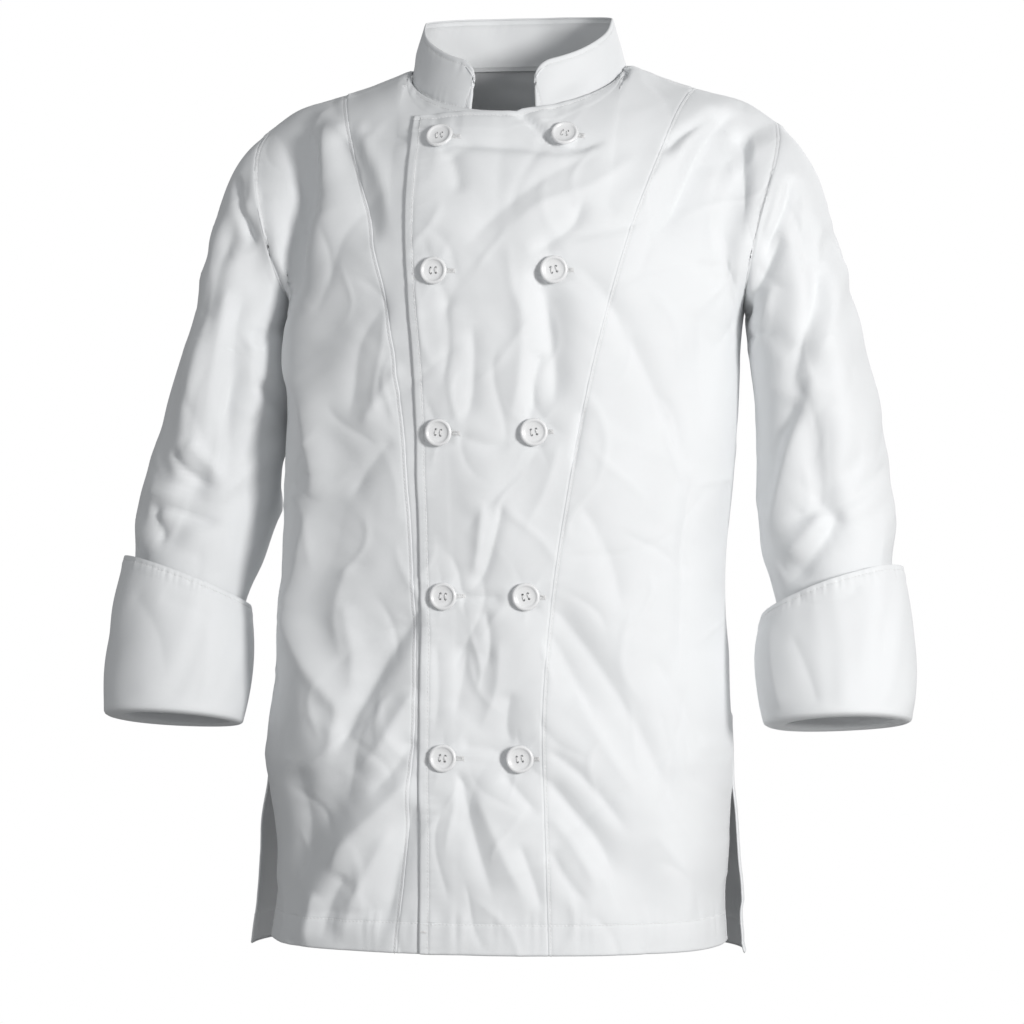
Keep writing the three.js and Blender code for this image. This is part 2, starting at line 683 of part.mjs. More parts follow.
// The sleeve: its cap runs from the armhole to the first oval, then it follows the ovals.
function sleeveGeometry(side) {
  const loop = armholeLoop(side);
  const count = loop.length;
  const first = SLEEVE[0].z;
  const last = SLEEVE[SLEEVE.length - 1].z;
  const angles = loop.map((_, i) => (i / count) * 2 * Math.PI);
  const upDirection = (angle) => sleeveRing(sleeveRow(first, side), angle, side)
    .sub(sleeveRing(sleeveRow(first - SLEEVE_STEP, side), angle, side)).normalize();
  const plain = (column, rise) => {
    const i = Math.floor(column);
    const f = column - i;
    const angle = (column / count) * 2 * Math.PI;
    if (rise >= 1) {
      const z = mix(first, last, rise - 1);
      return sleeveRing(sleeveRow(z, side), angle, side);
    }
    const a = loop[(i + count) % count];
    const b = loop[(i + 1 + count) % count];
    const from = a.point.clone().lerp(b.point, f);
    const out = a.out.clone().lerp(b.out, f).normalize();
    const to = sleeveRing(sleeveRow(first, side), angle, side);
    const gap = from.distanceTo(to);
    const start = from.clone().addScaledVector(out, gap * SLEEVE_HANDLE);
    const end = to.clone().addScaledVector(upDirection(angle), gap * HANDLE);
    return new THREE.CubicBezierCurve3(from, start, end, to).getPoint(rise);
  };
  const folded = (column, rise) => {
    const point = plain(column, rise);
    const degrees = (((column / count) * 360) % 360 + 360) % 360;
    const centre = new THREE.Vector3(side * mix(...ARM_MIDDLE, Math.min(rise, 1)), 0, point.z);
    if (rise > 1) centre.x = side * sleeveRow(mix(first, last, rise - 1), side).out;
    const out = point.clone().sub(centre).setZ(0).normalize();
    let lift = 0;
    for (const fold of SLEEVE_FOLDS) {
      lift += foldHeight(fold, [fold.a0, fold.z0], [fold.a1, fold.z1], [degrees, point.z]);
    }
    const [start, full, ebb, end] = SLEEVE_FADE;
    const fade = smooth(rise, start, full) * (1 - smooth(rise, ebb, end));
    return point.addScaledVector(out, lift * fade);
  };
  const rises = [];
  for (let j = 0; j <= CAP_ROWS; j += 1) rises.push(j / CAP_ROWS);
  for (let j = 1; j <= SLEEVE_ROWS; j += 1) rises.push(1 + j / SLEEVE_ROWS);
  return wallGeometry(count, rises.length, (i, j) => {
    const rise = rises[j];
    const point = folded(i, rise);
    const inside = new THREE.Vector3(side * mix(...CAP_MIDDLE, Math.min(rise, 1)), 0, point.z - 10);
    if (rise > 1) inside.set(side * sleeveRow(point.z, side).out, -20, point.z);
    const v = THREE.MathUtils.clamp(rise, 2 * NUDGE, 2 - 2 * NUDGE);
    const normal = normalOf(folded, i, v, inside);
    if (j === 0) {
      point.addScaledVector(loop[i].out, ARMHOLE_GAP / 2);
      normal.multiplyScalar(loop[i].low).addScaledVector(loop[i].normal, 1 - loop[i].low);
      normal.normalize();
    }
    return { point, normal };
  }, true);
}

const leftSleeve = named("sleeve_left", sleeveGeometry(1), WHITE);
const rightSleeve = named("sleeve_right", sleeveGeometry(-1), WHITE);

// Stations of the cuff's hooked section: q is 0 at the fold and 1 at the outer leg's top, or
// null at the inner leg's top; inner is 1 on the inner leg; wall is the side of the cloth.
const CUFF_SECTION = [
  { q: 1, inner: 0, wall: 1 },
  { q: 0.66, inner: 0, wall: 1 },
  { q: 0.33, inner: 0, wall: 1 },
  { q: 0.06, inner: 0, wall: 1 },
  { q: -0.02, inner: 0, wall: 0.4 },
  { q: -0.02, inner: 1, wall: -0.4 },
  { q: 0.06, inner: 1, wall: -1 },
  { q: null, inner: 1, wall: -1 },
  { q: null, inner: 1, wall: 1 },
  { q: 0.08, inner: 1, wall: 1 },
  { q: 0.08, inner: 0, wall: -1 },
  { q: 0.33, inner: 0, wall: -1 },
  { q: 0.66, inner: 0, wall: -1 },
  { q: 1, inner: 0, wall: -1 },
];

// A turned-back cuff: a hooked section, inner leg, fold and outer leg, carried round the wrist.
function cuffGeometry(side) {
  const cuff = side > 0 ? CUFFS.left : CUFFS.right;
  const sleeveEnd = SLEEVE[SLEEVE.length - 1];
  const row = sleeveRow(sleeveEnd.z, side);
  const legTop = (row.z - 2 * SEAM_GAP - cuff.foldZ) / (cuff.topZ - cuff.foldZ);
  const section = CUFF_SECTION.map((station) => ({ ...station, q: station.q ?? legTop }));
  const positions = [];
  for (let i = 0; i < CUFF_SEGMENTS; i += 1) {
    const angle = (i / CUFF_SEGMENTS) * 2 * Math.PI;
    for (const { q, inner, wall } of section) {
      const t = THREE.MathUtils.clamp(q, 0, 1);
      const shape = {
        z: mix(cuff.foldZ, cuff.topZ, q),
        out: mix(cuff.out[1], cuff.out[0], t),
        y: mix(cuff.y[1], cuff.y[0], t),
        half: mix(cuff.half[1], cuff.half[0], t) + CUFF_BULGE * 4 * t * (1 - t),
        deep: mix(cuff.deep[1], cuff.deep[0], t),
        slant: mix(CUFF_FOLD_SLANT, CUFF_TOP_SLANT, t * t),
        tip: mix(...CUFF_TIP, t),
      };
      if (inner) {
        for (const column of ["out", "y", "half", "deep", "slant", "tip"]) {
          shape[column] = row[column];
        }
      }
      shape.half += (wall * WALL) / 2;
      shape.deep += (wall * WALL) / 2;
      positions.push(...sleeveRing(shape, angle, side).toArray());
    }
  }
  const count = section.length;
  const index = [];
  for (let i = 0; i < CUFF_SEGMENTS; i += 1) {
    const next = (i + 1) % CUFF_SEGMENTS;
    for (let j = 0; j < count; j += 1) {
      const k = (j + 1) % count;
      const [a, b] = [i * count + j, next * count + j];
      const [c, d] = [next * count + k, i * count + k];
      index.push(a, b, c, a, c, d);
    }
  }
  const geometry = new THREE.BufferGeometry();
  geometry.setAttribute("position", new THREE.Float32BufferAttribute(positions, 3));
  geometry.setIndex(index);
  return facingOut(geometry);
}

const leftCuff = named("cuff_left", cuffGeometry(1), WHITE);
const rightCuff = named("cuff_right", cuffGeometry(-1), WHITE);

// The stand collar: a leaning band round the inside of the neckline, open at the front.
function collarGeometry() {
  return wallGeometry(COLLAR_COLUMNS + 1, COLLAR_ROWS, (i, j) => {
    const share = (2 * i) / COLLAR_COLUMNS - 1;
    const end = share > 0 ? COLLAR_ENDS.left : COLLAR_ENDS.right;
    const sweep = Math.PI - Math.asin(end / NECK_HALF);
    const eased = Math.sign(share) * (1 - Math.pow(1 - Math.abs(share), COLLAR_EASE));
    const round = eased * sweep;
    const face = Math.abs(round) > HALF_PI ? -1 : 1;
    const angle = face < 0 ? Math.sign(round) * (Math.PI - Math.abs(round)) : round;
    const base = neckPoint(angle, face);
    const flat = face < 0 ? NECK_FRONT : NECK_BACK;
    const out = new THREE.Vector3(base.x / (NECK_HALF * NECK_HALF), base.y / (flat * flat), 0);
    out.normalize();
    const toEnd = (sweep - Math.abs(round)) * NECK_FRONT;
    const bite = Math.max(COLLAR_CORNER - toEnd, 0);
    const drop = COLLAR_CORNER - Math.sqrt(COLLAR_CORNER ** 2 - bite ** 2);
    const height = COLLAR_HEIGHT + COLLAR_SINK - drop;
    const up = (j / (COLLAR_ROWS - 1)) * height;
    const point = base
      .addScaledVector(out, -COLLAR_INSET - up * Math.sin(COLLAR_LEAN))
      .add(new THREE.Vector3(0, 0, up * Math.cos(COLLAR_LEAN) - COLLAR_SINK));
    const normal = out.multiplyScalar(Math.cos(COLLAR_LEAN)).setZ(Math.sin(COLLAR_LEAN));
    return { point, normal };
  }, false);
}
const collar = named("collar", collarGeometry(), WHITE);

// A sewn-on button: a short shank, a round back, a raised rim and a dished face.
const BUTTON_PROFILE = [
  [0, 0],
  [3, 0],
  [3, 1.2],
  [10.2, 1.4],
  [BUTTON_RADIUS, 2.6],
  [11, 4.4],
  [9.3, 4.6],
  [8, 3.6],
  [0, 3.4],
];
const buttonGeometry = new THREE.LatheGeometry(
  BUTTON_PROFILE.map(([r, h]) => new THREE.Vector2(r, h)),
  BUTTON_SEGMENTS,
);
buttonGeometry.rotateX(HALF_PI);

// Seats a button on the overlap: it starts a seam gap above the cloth and faces along it.
const caster = new THREE.Raycaster();
const FROM_Y = -400;
function seatedButton(name, x, z) {
  caster.set(new THREE.Vector3(x, FROM_Y, z), new THREE.Vector3(0, 1, 0));
  const hit = caster.intersectObjects([overlap, leftSideFront])[0];
  const place = clothNormalNear(hit.point);
  const button = named(name, buttonGeometry, PLASTIC);
  button.quaternion.setFromUnitVectors(new THREE.Vector3(0, 0, 1), place);
  button.position.copy(hit.point).addScaledVector(place, SEAM_GAP);
  return button;
}

// The mean direction of the faces round a point of the overlap.
const NEAR = 8;
function clothNormalNear(point) {
  const mean = new THREE.Vector3();
  for (const [dx, dz] of [[0, 0], [NEAR, 0], [-NEAR, 0], [0, NEAR], [0, -NEAR]]) {
    caster.set(new THREE.Vector3(point.x + dx, FROM_Y, point.z + dz), new THREE.Vector3(0, 1, 0));
    const hit = caster.intersectObjects([overlap, leftSideFront])[0];
    if (hit) mean.add(hit.face.normal);
  }
  return mean.normalize();
}

const buttons = BUTTON_ROWS.flatMap(({ z, right, left }, i) => {
  const middle = along(BODY, "z", Math.min(z, UNDERARM_Z), "middle");
  const lean = middle * (1 - smooth(z, UNDERARM_Z, CENTRE_Z));
  return [
    seatedButton(`button_right_${i + 1}`, lean + right, z),
    seatedButton(`button_left_${i + 1}`, lean + left, z),
  ];
});

const jacket = new THREE.Group();
jacket.name = "chef_jacket";
jacket.add(overlap, leftSideFront, underlap, rightSideFront, back);
jacket.add(leftSleeve, rightSleeve, leftCuff, rightCuff, collar, ...buttons);

export default jacket;
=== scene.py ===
import math

import bmesh
import bpy
import numpy as np
from bpy.props import FloatProperty, FloatVectorProperty, PointerProperty
from mathutils import Matrix, Vector


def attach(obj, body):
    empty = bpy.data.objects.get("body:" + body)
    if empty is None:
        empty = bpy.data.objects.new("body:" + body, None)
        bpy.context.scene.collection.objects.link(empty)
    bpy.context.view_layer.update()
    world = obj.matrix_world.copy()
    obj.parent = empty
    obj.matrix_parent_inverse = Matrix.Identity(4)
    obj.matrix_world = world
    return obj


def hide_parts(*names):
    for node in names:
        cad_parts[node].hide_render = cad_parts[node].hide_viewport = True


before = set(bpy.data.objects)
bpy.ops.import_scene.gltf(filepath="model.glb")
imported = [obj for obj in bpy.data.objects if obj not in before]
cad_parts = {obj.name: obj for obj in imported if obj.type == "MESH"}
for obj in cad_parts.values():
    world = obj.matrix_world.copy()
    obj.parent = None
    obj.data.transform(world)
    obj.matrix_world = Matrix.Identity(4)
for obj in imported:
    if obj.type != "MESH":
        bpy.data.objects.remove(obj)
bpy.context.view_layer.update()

bl_info = {
    "name": "Chef jacket",
    "version": (1, 0, 0),
    "blender": (4, 5, 0),
    "location": "3D View > Sidebar > Jacket",
    "description": "Cloth, sewing, buttons and stage of a white double-breasted chef jacket",
    "category": "Object",
}

HALF_PI = math.pi / 2


def table(columns, *rows):
    """A short table: each column's name with its values down the rows."""
    return dict(zip(columns.split(), np.array(rows, dtype=float).T))


# Sizes of the jacket, in metres, in the frame of the solids. WALL is the solids' thickness,
# CLOTH the visible cloth's, and LAYER how far the overlap stands off the underlap.
WALL = 0.0018
CLOTH = 0.0012
LAYER = 0.0022
UNDERARM_Z = -0.204
SIDE_DIP = 0.06
FRONT_HEM_Z = -0.747
BACK_HEM_Z = -0.758
VENT_TOP_Z = -0.591
NECK_TURN = 0.27
TIP_TURN = 0.6
TIP_BLEND = 0.16
LIFT_TURN = 0.8 * NECK_TURN
ROUNDNESS = 2.4
NECK_HALF = 0.095
NECK_FRONT = 0.082
NECK_BACK = 0.066
NECK_SIDE_Z = 0.0015
NECK_FRONT_DROP = 0.046
NECK_BACK_RISE = 0.010
COLLAR_HEIGHT = 0.043
COLLAR_LEAN = math.radians(14)
COLLAR_ENDS = {"left": 0.026, "right": 0.032}
COLLAR_CORNER = 0.015
COLLAR_INSET = 0.0024
COLLAR_SINK = 0.0025

# Level sections of the body.
BODY = table(
    "z half front back middle",
    (-0.765, 0.215, 0.126, 0.124, -0.022),
    (-0.669, 0.209, 0.126, 0.118, -0.019),
    (-0.591, 0.202, 0.124, 0.112, -0.0175),
    (-0.514, 0.195, 0.122, 0.106, -0.0155),
    (-0.430, 0.190, 0.119, 0.103, -0.013),
    (-0.350, 0.193, 0.120, 0.104, -0.009),
    (-0.270, 0.194, 0.124, 0.108, -0.005),
    (-0.204, 0.193, 0.126, 0.110, -0.002),
)
VENT_GAPE = table(
    "z right left",
    (-0.765, 0.020, 0.015),
    (-0.700, 0.020, 0.013),
    (-0.640, 0.013, 0.007),
    (VENT_TOP_Z, 0.0, 0.0),
)
SHOULDER = table(
    "x y z",
    (0.095, 0.0, NECK_SIDE_Z),
    (0.131, 0.0, -0.012),
    (0.166, 0.001, -0.022),
    (0.196, 0.002, -0.031),
    (0.223, 0.003, -0.049),
)
ARMHOLE = table(
    "t x front back z inX inY inZ",
    (0.00, 0.223, -0.003, 0.003, -0.049, 0.70, 0.60, 0.10),
    (0.18, 0.226, 0.030, 0.030, -0.072, 0.80, 0.50, 0.25),
    (0.38, 0.220, 0.057, 0.056, -0.108, 0.85, 0.42, 0.40),
    (0.60, 0.210, 0.064, 0.062, -0.148, 0.70, 0.40, 0.60),
    (0.80, 0.200, 0.048, 0.048, -0.186, 0.50, 0.25, 0.80),
    (1.00, 0.192, 0.000, 0.000, -0.206, 0.00, 0.00, 1.00),
)
PRINCESS_SEAM = table(
    "z off",
    (-0.765, 0.065), (-0.630, 0.057), (-0.547, 0.0535), (-0.465, 0.057),
    (-0.390, 0.064), (-0.304, 0.075), (-0.222, 0.090), (-0.137, 0.112),
    (-0.084, 0.129), (-0.042, 0.142), (-0.015, 0.152),
)
FRONT_EDGE = table(
    "z off",
    (-0.765, 0.043), (-0.586, 0.048), (-0.454, 0.0515), (-0.355, 0.059),
    (-0.274, 0.065), (-0.170, 0.076), (-0.040, 0.079),
)
UNDERLAP_BACK = 0.006
OVERLAP_TOP = table(
    "x z",
    (-0.200, -0.061), (-0.078, -0.0465), (-0.041, -0.0455), (0.012, -0.046), (0.026, -0.036),
)
UNDERLAP_TOP = table(
    "x z",
    (-0.036, -0.028), (-0.022, -0.038), (0.027, -0.050), (0.074, -0.060), (0.200, -0.078),
)

# The largest folds, which the solids have too: a ridge, or a trough where the height is
# below zero, from one end to the other.
FRONT_FOLDS = table(
    "x0 z0 x1 z1 half height",
    (-0.184, -0.045, -0.166, -0.120, 0.016, -0.008),
    (-0.166, -0.120, -0.186, -0.190, 0.015, -0.008),
    (-0.156, -0.130, -0.178, -0.260, 0.018, 0.004),
    (-0.160, -0.280, -0.154, -0.350, 0.020, 0.005),
    (-0.156, -0.370, -0.170, -0.465, 0.020, 0.006),
    (-0.172, -0.465, -0.138, -0.590, 0.020, 0.007),
    (-0.070, -0.470, -0.136, -0.560, 0.022, -0.005),
    (-0.072, -0.590, -0.150, -0.735, 0.024, 0.007),
    (-0.110, -0.600, -0.176, -0.720, 0.022, -0.006),
    (0.190, -0.036, 0.142, -0.140, 0.017, -0.007),
    (0.172, -0.042, 0.122, -0.110, 0.016, 0.004),
    (0.196, -0.060, 0.196, -0.140, 0.012, -0.005),
    (0.048, -0.190, 0.046, -0.300, 0.020, -0.004),
    (-0.020, -0.330, 0.020, -0.420, 0.026, 0.003),
    (-0.030, -0.480, 0.020, -0.570, 0.022, -0.004),
    (0.056, -0.475, 0.122, -0.590, 0.022, -0.005),
    (0.046, -0.600, 0.136, -0.700, 0.024, -0.006),
    (0.160, -0.640, 0.172, -0.747, 0.022, 0.006),
    (0.176, -0.230, 0.130, -0.330, 0.022, -0.004),
)
BACK_FOLDS = table(
    "x0 z0 x1 z1 half height",
    (-0.186, -0.150, -0.120, -0.330, 0.024, -0.006),
    (0.186, -0.140, 0.112, -0.300, 0.024, -0.006),
    (-0.090, -0.380, -0.060, -0.700, 0.026, -0.006),
    (-0.020, -0.440, 0.006, -0.765, 0.030, 0.005),
    (0.070, -0.400, 0.096, -0.740, 0.026, -0.006),
    (0.150, -0.420, 0.156, -0.765, 0.026, 0.006),
    (-0.160, -0.430, -0.166, -0.765, 0.026, 0.006),
    (-0.050, -0.060, -0.110, -0.130, 0.022, -0.003),
    (0.060, -0.056, 0.120, -0.120, 0.022, -0.003),
)
SLEEVE = table(
    "z out y half deep slant tip",
    (-0.240, 0.249, 0.004, 0.046, 0.069, 19, 0),
    (-0.300, 0.261, 0.006, 0.051, 0.066, 18, 0),
    (-0.360, 0.272, 0.002, 0.056, 0.062, 18, 4),
    (-0.405, 0.280, -0.005, 0.057, 0.058, 17, 8),
    (-0.440, 0.284, -0.013, 0.050, 0.050, 16, 10),
    (-0.480, 0.286, -0.022, 0.046, 0.046, 8, 11),
    (-0.540, 0.287, -0.036, 0.045, 0.045, 3, 11),
)
SLEEVE_SHIFT = table(
    "z left right",
    (-0.240, 0.0, -0.002),
    (-0.300, -0.001, 0.0),
    (-0.360, -0.009, 0.002),
    (-0.405, -0.012, 0.003),
    (-0.440, -0.012, 0.004),
    (-0.540, -0.009, 0.007),
)
# Folds of a sleeve: degrees from the outside over the front, and millimetres.
SLEEVE_FOLDS = table(
    "x0 z0 x1 z1 half height",
    (70, -120, 60, -220, 15, -6),
    (50, -120, 50, -260, 16, 3),
    (110, -250, 84, -400, 14, -5),
    (60, -230, 74, -360, 14, 4),
    (50, -340, 110, -380, 12, -5),
    (30, -380, 80, -400, 12, -4),
    (200, -330, 270, -370, 14, -5),
    (290, -140, 300, -300, 16, -5),
    (250, -240, 280, -420, 15, 5),
    (186, -225, 186, -385, 34, 6),
)
# Cuffs: slants of the fold and the top edge and the tips there, in degrees; the others in metres,
# at the top edge and at the fold.
CUFF_FOLD_SLANT = 2
CUFF_TOP_SLANT = 20
CUFF_TIP = (11, 12)
CUFF_BULGE = 0.005
CUFFS = {
    "left": dict(top=-0.450, fold=-0.559, out=(0.270, 0.276), half=(0.063, 0.061),
                 deep=(0.060, 0.058), y=(-0.016, -0.041)),
    "right": dict(top=-0.442, fold=-0.561, out=(0.290, 0.297), half=(0.057, 0.059),
                  deep=(0.060, 0.057), y=(-0.016, -0.041)),
}


# Creases, in millimetres: height (a trough below zero), how far it reaches on its left and
# right when followed from the first place, then the places that it runs through.
FRONT_CREASES = (
    (-2.6, 8, 9, (-172, -55), (-174, -80), (-176, -111), (-178, -149), (-177, -182)),
    (3.6, 4, 13, (-162, -46), (-158, -72), (-157, -104), (-161, -136), (-167, -162), (-176, -196)),
    (3.5, 7, 16, (-177, -188), (-183, -226), (-187, -253), (-175, -274), (-165, -291),
     (-157, -320), (-151, -350), (-152, -378)),
    (3.5, 8, 16, (-152, -371), (-156, -405), (-162, -435), (-169, -458), (-166, -483),
     (-149, -511), (-131, -534), (-124, -546), (-127, -575), (-131, -605)),
    (-3.2, 14, 12, (-143, -49), (-128, -89), (-113, -130), (-99, -160)),
    (1.6, 8, 9, (-132, -48), (-113, -78), (-97, -112), (-91, -154)),
    (-1.4, 9, 14, (-88, -201), (-113, -235), (-120, -275), (-122, -307)),
    (1.2, 8, 9, (-76, -256), (-98, -289), (-111, -312)),
    (-1.0, 7, 9, (-81, -318), (-104, -346), (-121, -375)),
    (1.4, 9, 12, (-115, -421), (-126, -464), (-119, -510)),
    (-4.2, 11, 9, (-53, -463), (-82, -505), (-108, -552), (-123, -587)),
    (2.6, 8, 12, (-52, -526), (-70, -555), (-82, -578), (-104, -598)),
    (-1.8, 9, 8, (-52, -567), (-70, -596), (-91, -619)),
    (2.4, 8, 12, (-51, -598), (-72, -622), (-96, -646), (-114, -665), (-122, -688)),
    (-2.4, 10, 9, (-51, -621), (-62, -663), (-71, -709), (-77, -743)),
    (1.8, 9, 9, (-68, -638), (-90, -681), (-107, -720), (-112, -745)),
    (-1.8, 7, 8, (-108, -682), (-124, -712), (-129, -742)),
    (1.4, 7, 7, (-136, -700), (-143, -726), (-144, -747)),
    (-2.0, 14, 14, (-160, -592), (-151, -642), (-158, -694)),
    (1.8, 10, 12, (-120, -455), (-112, -497), (-113, -539)),
    (-1.2, 6, 7, (-127, -55), (-102, -61), (-75, -69)),
    (-3.6, 3, 7, (-4, -38), (6, -43), (17, -51), (32, -63), (45, -73), (63, -77), (78, -76), (91, -72)),
    (1.6, 5, 3, (18, -46), (34, -57), (50, -68), (66, -72)),
    (-1.6, 4, 6, (-46, -74), (-10, -77), (24, -79), (52, -82), (80, -80)),
    (-1.0, 4, 8, (-38, -71), (1, -74), (43, -76)),
    (-1.5, 7, 7, (-41, -80), (-35, -98), (-32, -120)),
    (-1.2, 9, 10, (91, -82), (53, -96), (20, -119), (-9, -144), (-29, -170)),
    (1.0, 8, 8, (118, -81), (78, -111), (36, -127), (7, -151)),
    (-1.9, 8, 6, (72, -121), (64, -144), (45, -158), (28, -169)),
    (-3.2, 9, 11, (31, -174), (40, -197), (47, -235), (53, -270), (52, -298)),
    (1.3, 9, 9, (21, -189), (24, -230), (23, -276), (15, -309)),
    (-0.9, 3, 5, (58, -156), (86, -150), (108, -144), (131, -132)),
    (-2.2, 10, 10, (64, -174), (86, -197), (106, -229), (127, -268), (147, -310), (160, -349)),
    (-1.4, 7, 7, (-18, -223), (-16, -255), (-16, -286), (-22, -311)),
    (0.9, 7, 8, (-37, -205), (-34, -246), (-37, -292)),
    (-1.6, 5, 5, (40, -247), (35, -276), (34, -308)),
    (-1.0, 6, 6, (-27, -316), (-4, -325), (20, -326)),
    (-1.2, 6, 8, (-43, -196), (-36, -238), (-41, -281)),
    (-1.1, 3, 4, (77, -292), (73, -321), (70, -350)),
    (0.9, 8, 8, (59, -321), (48, -363), (29, -404)),
    (-1.3, 5, 5, (15, -366), (9, -404), (1, -432), (-12, -447)),
    (1.1, 5, 5, (-2, -371), (-4, -408), (-8, -437)),
    (-1.3, 4, 4, (-19, -451), (1, -452), (21, -453)),
    (-1.1, 5, 5, (3, -459), (8, -487), (6, -514)),
    (-2.3, 10, 10, (53, -454), (75, -477), (102, -513), (133, -563), (159, -619), (184, -677)),
    (-1.2, 8, 8, (55, -477), (78, -517), (99, -555)),
    (1.3, 9, 9, (77, -528), (102, -570), (134, -620)),
    (-2.0, 7, 7, (56, -576), (80, -593), (105, -619), (130, -653)),
    (-2.0, 7, 8, (56, -598), (79, -626), (102, -654), (120, -690)),
    (-1.4, 6, 6, (60, -657), (77, -685), (97, -708)),
    (1.3, 6, 7, (59, -629), (85, -661), (104, -698)),
    (-1.9, 9, 9, (-15, -592), (-8, -622), (3, -661), (20, -708)),
    (-1.4, 7, 6, (20, -596), (37, -615), (54, -634)),
    (1.2, 8, 9, (-1, -612), (22, -661), (46, -706)),
    (-1.2, 6, 6, (36, -653), (49, -686), (58, -714)),
    (-1.2, 10, 10, (-10, -487), (-15, -521), (-20, -555)),
    (-1.3, 8, 7, (27, -528), (24, -557), (30, -576)),
    (-1.0, 5, 6, (-16, -574), (11, -578), (32, -584)),
    (1.0, 7, 8, (16, -487), (14, -529), (1, -562)),
    (-0.9, 7, 7, (-38, -487), (-34, -529), (-36, -567)),
    (-3.6, 8, 10, (192, -36), (176, -56), (165, -81), (156, -108), (146, -132), (132, -150)),
    (2.0, 7, 7, (186, -34), (167, -52), (151, -77), (142, -99)),
    (-2.6, 5, 5, (182, -36), (162, -55), (144, -70), (133, -87)),
    (-1.6, 6, 6, (198, -55), (200, -88), (202, -138)),
    (1.0, 6, 6, (190, -43), (188, -75), (193, -109)),
    (1.4, 12, 12, (175, -86), (171, -137), (175, -187)),
    (-1.3, 6, 4, (165, -344), (162, -388), (162, -438), (162, -487), (161, -532)),
    (-1.1, 9, 9, (141, -497), (170, -551), (185, -580)),
    (-1.2, 12, 12, (165, -204), (171, -271), (171, -321)),
    (-1.2, 9, 9, (77, -371), (104, -421), (116, -470)),
)
BACK_CREASES = (
    (-3.2, 12, 12, (-172, -120), (-142, -190), (-106, -270), (-88, -335)),
    (-3.0, 12, 12, (168, -108), (136, -178), (102, -250), (86, -304)),
    (2.2, 12, 12, (-152, -108), (-126, -170), (-94, -236)),
    (2.0, 11, 11, (146, -100), (118, -160), (92, -214)),
    (-2.2, 8, 8, (-58, -24), (-88, -66), (-122, -120)),
    (-2.0, 8, 8, (56, -24), (86, -62), (118, -108)),
    (-2.2, 12, 14, (-136, -356), (-84, -416), (-30, -446)),
    (-2.0, 14, 12, (124, -346), (76, -398), (30, -420)),
    (-2.4, 14, 12, (-18, -436), (-40, -540), (-34, -690)),
    (2.6, 14, 16, (18, -430), (32, -546), (40, -748)),
    (-2.4, 12, 14, (68, -436), (84, -560), (90, -736)),
    (-2.6, 12, 14, (-88, -446), (-100, -570), (-112, -744)),
    (2.2, 12, 12, (-138, -462), (-152, -600), (-152, -744)),
    (-1.8, 10, 10, (138, -456), (150, -560), (160, -706)),
    (-1.4, 7, 7, (-44, -196), (0, -212), (46, -202)),
    (-1.4, 8, 8, (-76, -254), (-20, -278), (34, -268)),
    (1.3, 9, 9, (-60, -560), (-66, -640), (-60, -720)),
)
RIGHT_SLEEVE_CREASES = (
    (-3.0, 4, 5, (-243, -88), (-238, -111), (-228, -136), (-217, -154)),
    (2.4, 4, 4, (-213, -71), (-214, -97), (-222, -133)),
    (-2.0, 5, 5, (-222, -71), (-228, -97), (-229, -118)),
    (2.6, 8, 14, (-250, -141), (-258, -191), (-264, -233), (-275, -273), (-296, -323)),
    (-3.2, 12, 10, (-229, -186), (-238, -232), (-243, -283), (-244, -326), (-249, -362)),
    (1.8, 8, 8, (-243, -186), (-249, -225), (-258, -276), (-265, -319)),
    (-2.8, 4, 5, (-296, -324), (-284, -343), (-268, -355), (-249, -362)),
    (2.0, 6, 5, (-280, -319), (-263, -338), (-247, -352)),
    (-2.8, 5, 5, (-318, -380), (-298, -378), (-272, -386), (-247, -395)),
    (-2.2, 5, 5, (-313, -378), (-306, -395), (-301, -412)),
    (1.6, 6, 6, (-321, -362), (-295, -364), (-264, -372)),
    (-2.2, 6, 6, (-189, -217), (-210, -224), (-219, -242)),
    (-2.0, 6, 7, (-222, -265), (-210, -289), (-198, -313)),
    (1.8, 8, 8, (-224, -225), (-224, -268), (-214, -311)),
)
LEFT_SLEEVE_CREASES = (
    (-2.8, 5, 6, (237, -97), (235, -122), (222, -152), (215, -172)),
    (2.2, 5, 6, (226, -104), (222, -129), (212, -154)),
    (-3.4, 5, 6, (232, -146), (221, -172), (204, -202), (192, -227)),
    (-3.6, 7, 7, (269, -133), (264, -178), (256, -216), (246, -246), (236, -284)),
    (2.4, 8, 9, (282, -154), (276, -196), (267, -238), (256, -264)),
    (3.8, 6, 14, (258, -263), (252, -292), (238, -329), (228, -368), (217, -406)),
    (-3.0, 9, 9, (242, -284), (229, -312), (219, -346), (212, -379)),
    (-2.3, 7, 6, (320, -333), (303, -360), (280, -375), (247, -385), (228, -391)),
    (-3.6, 7, 8, (282, -379), (269, -399), (251, -424), (229, -448)),
    (1.8, 6, 7, (264, -381), (251, -400), (232, -421)),
    (-1.6, 5, 5, (210, -232), (201, -230), (191, -227)),
    (1.6, 6, 7, (224, -190), (217, -212), (210, -234)),
)


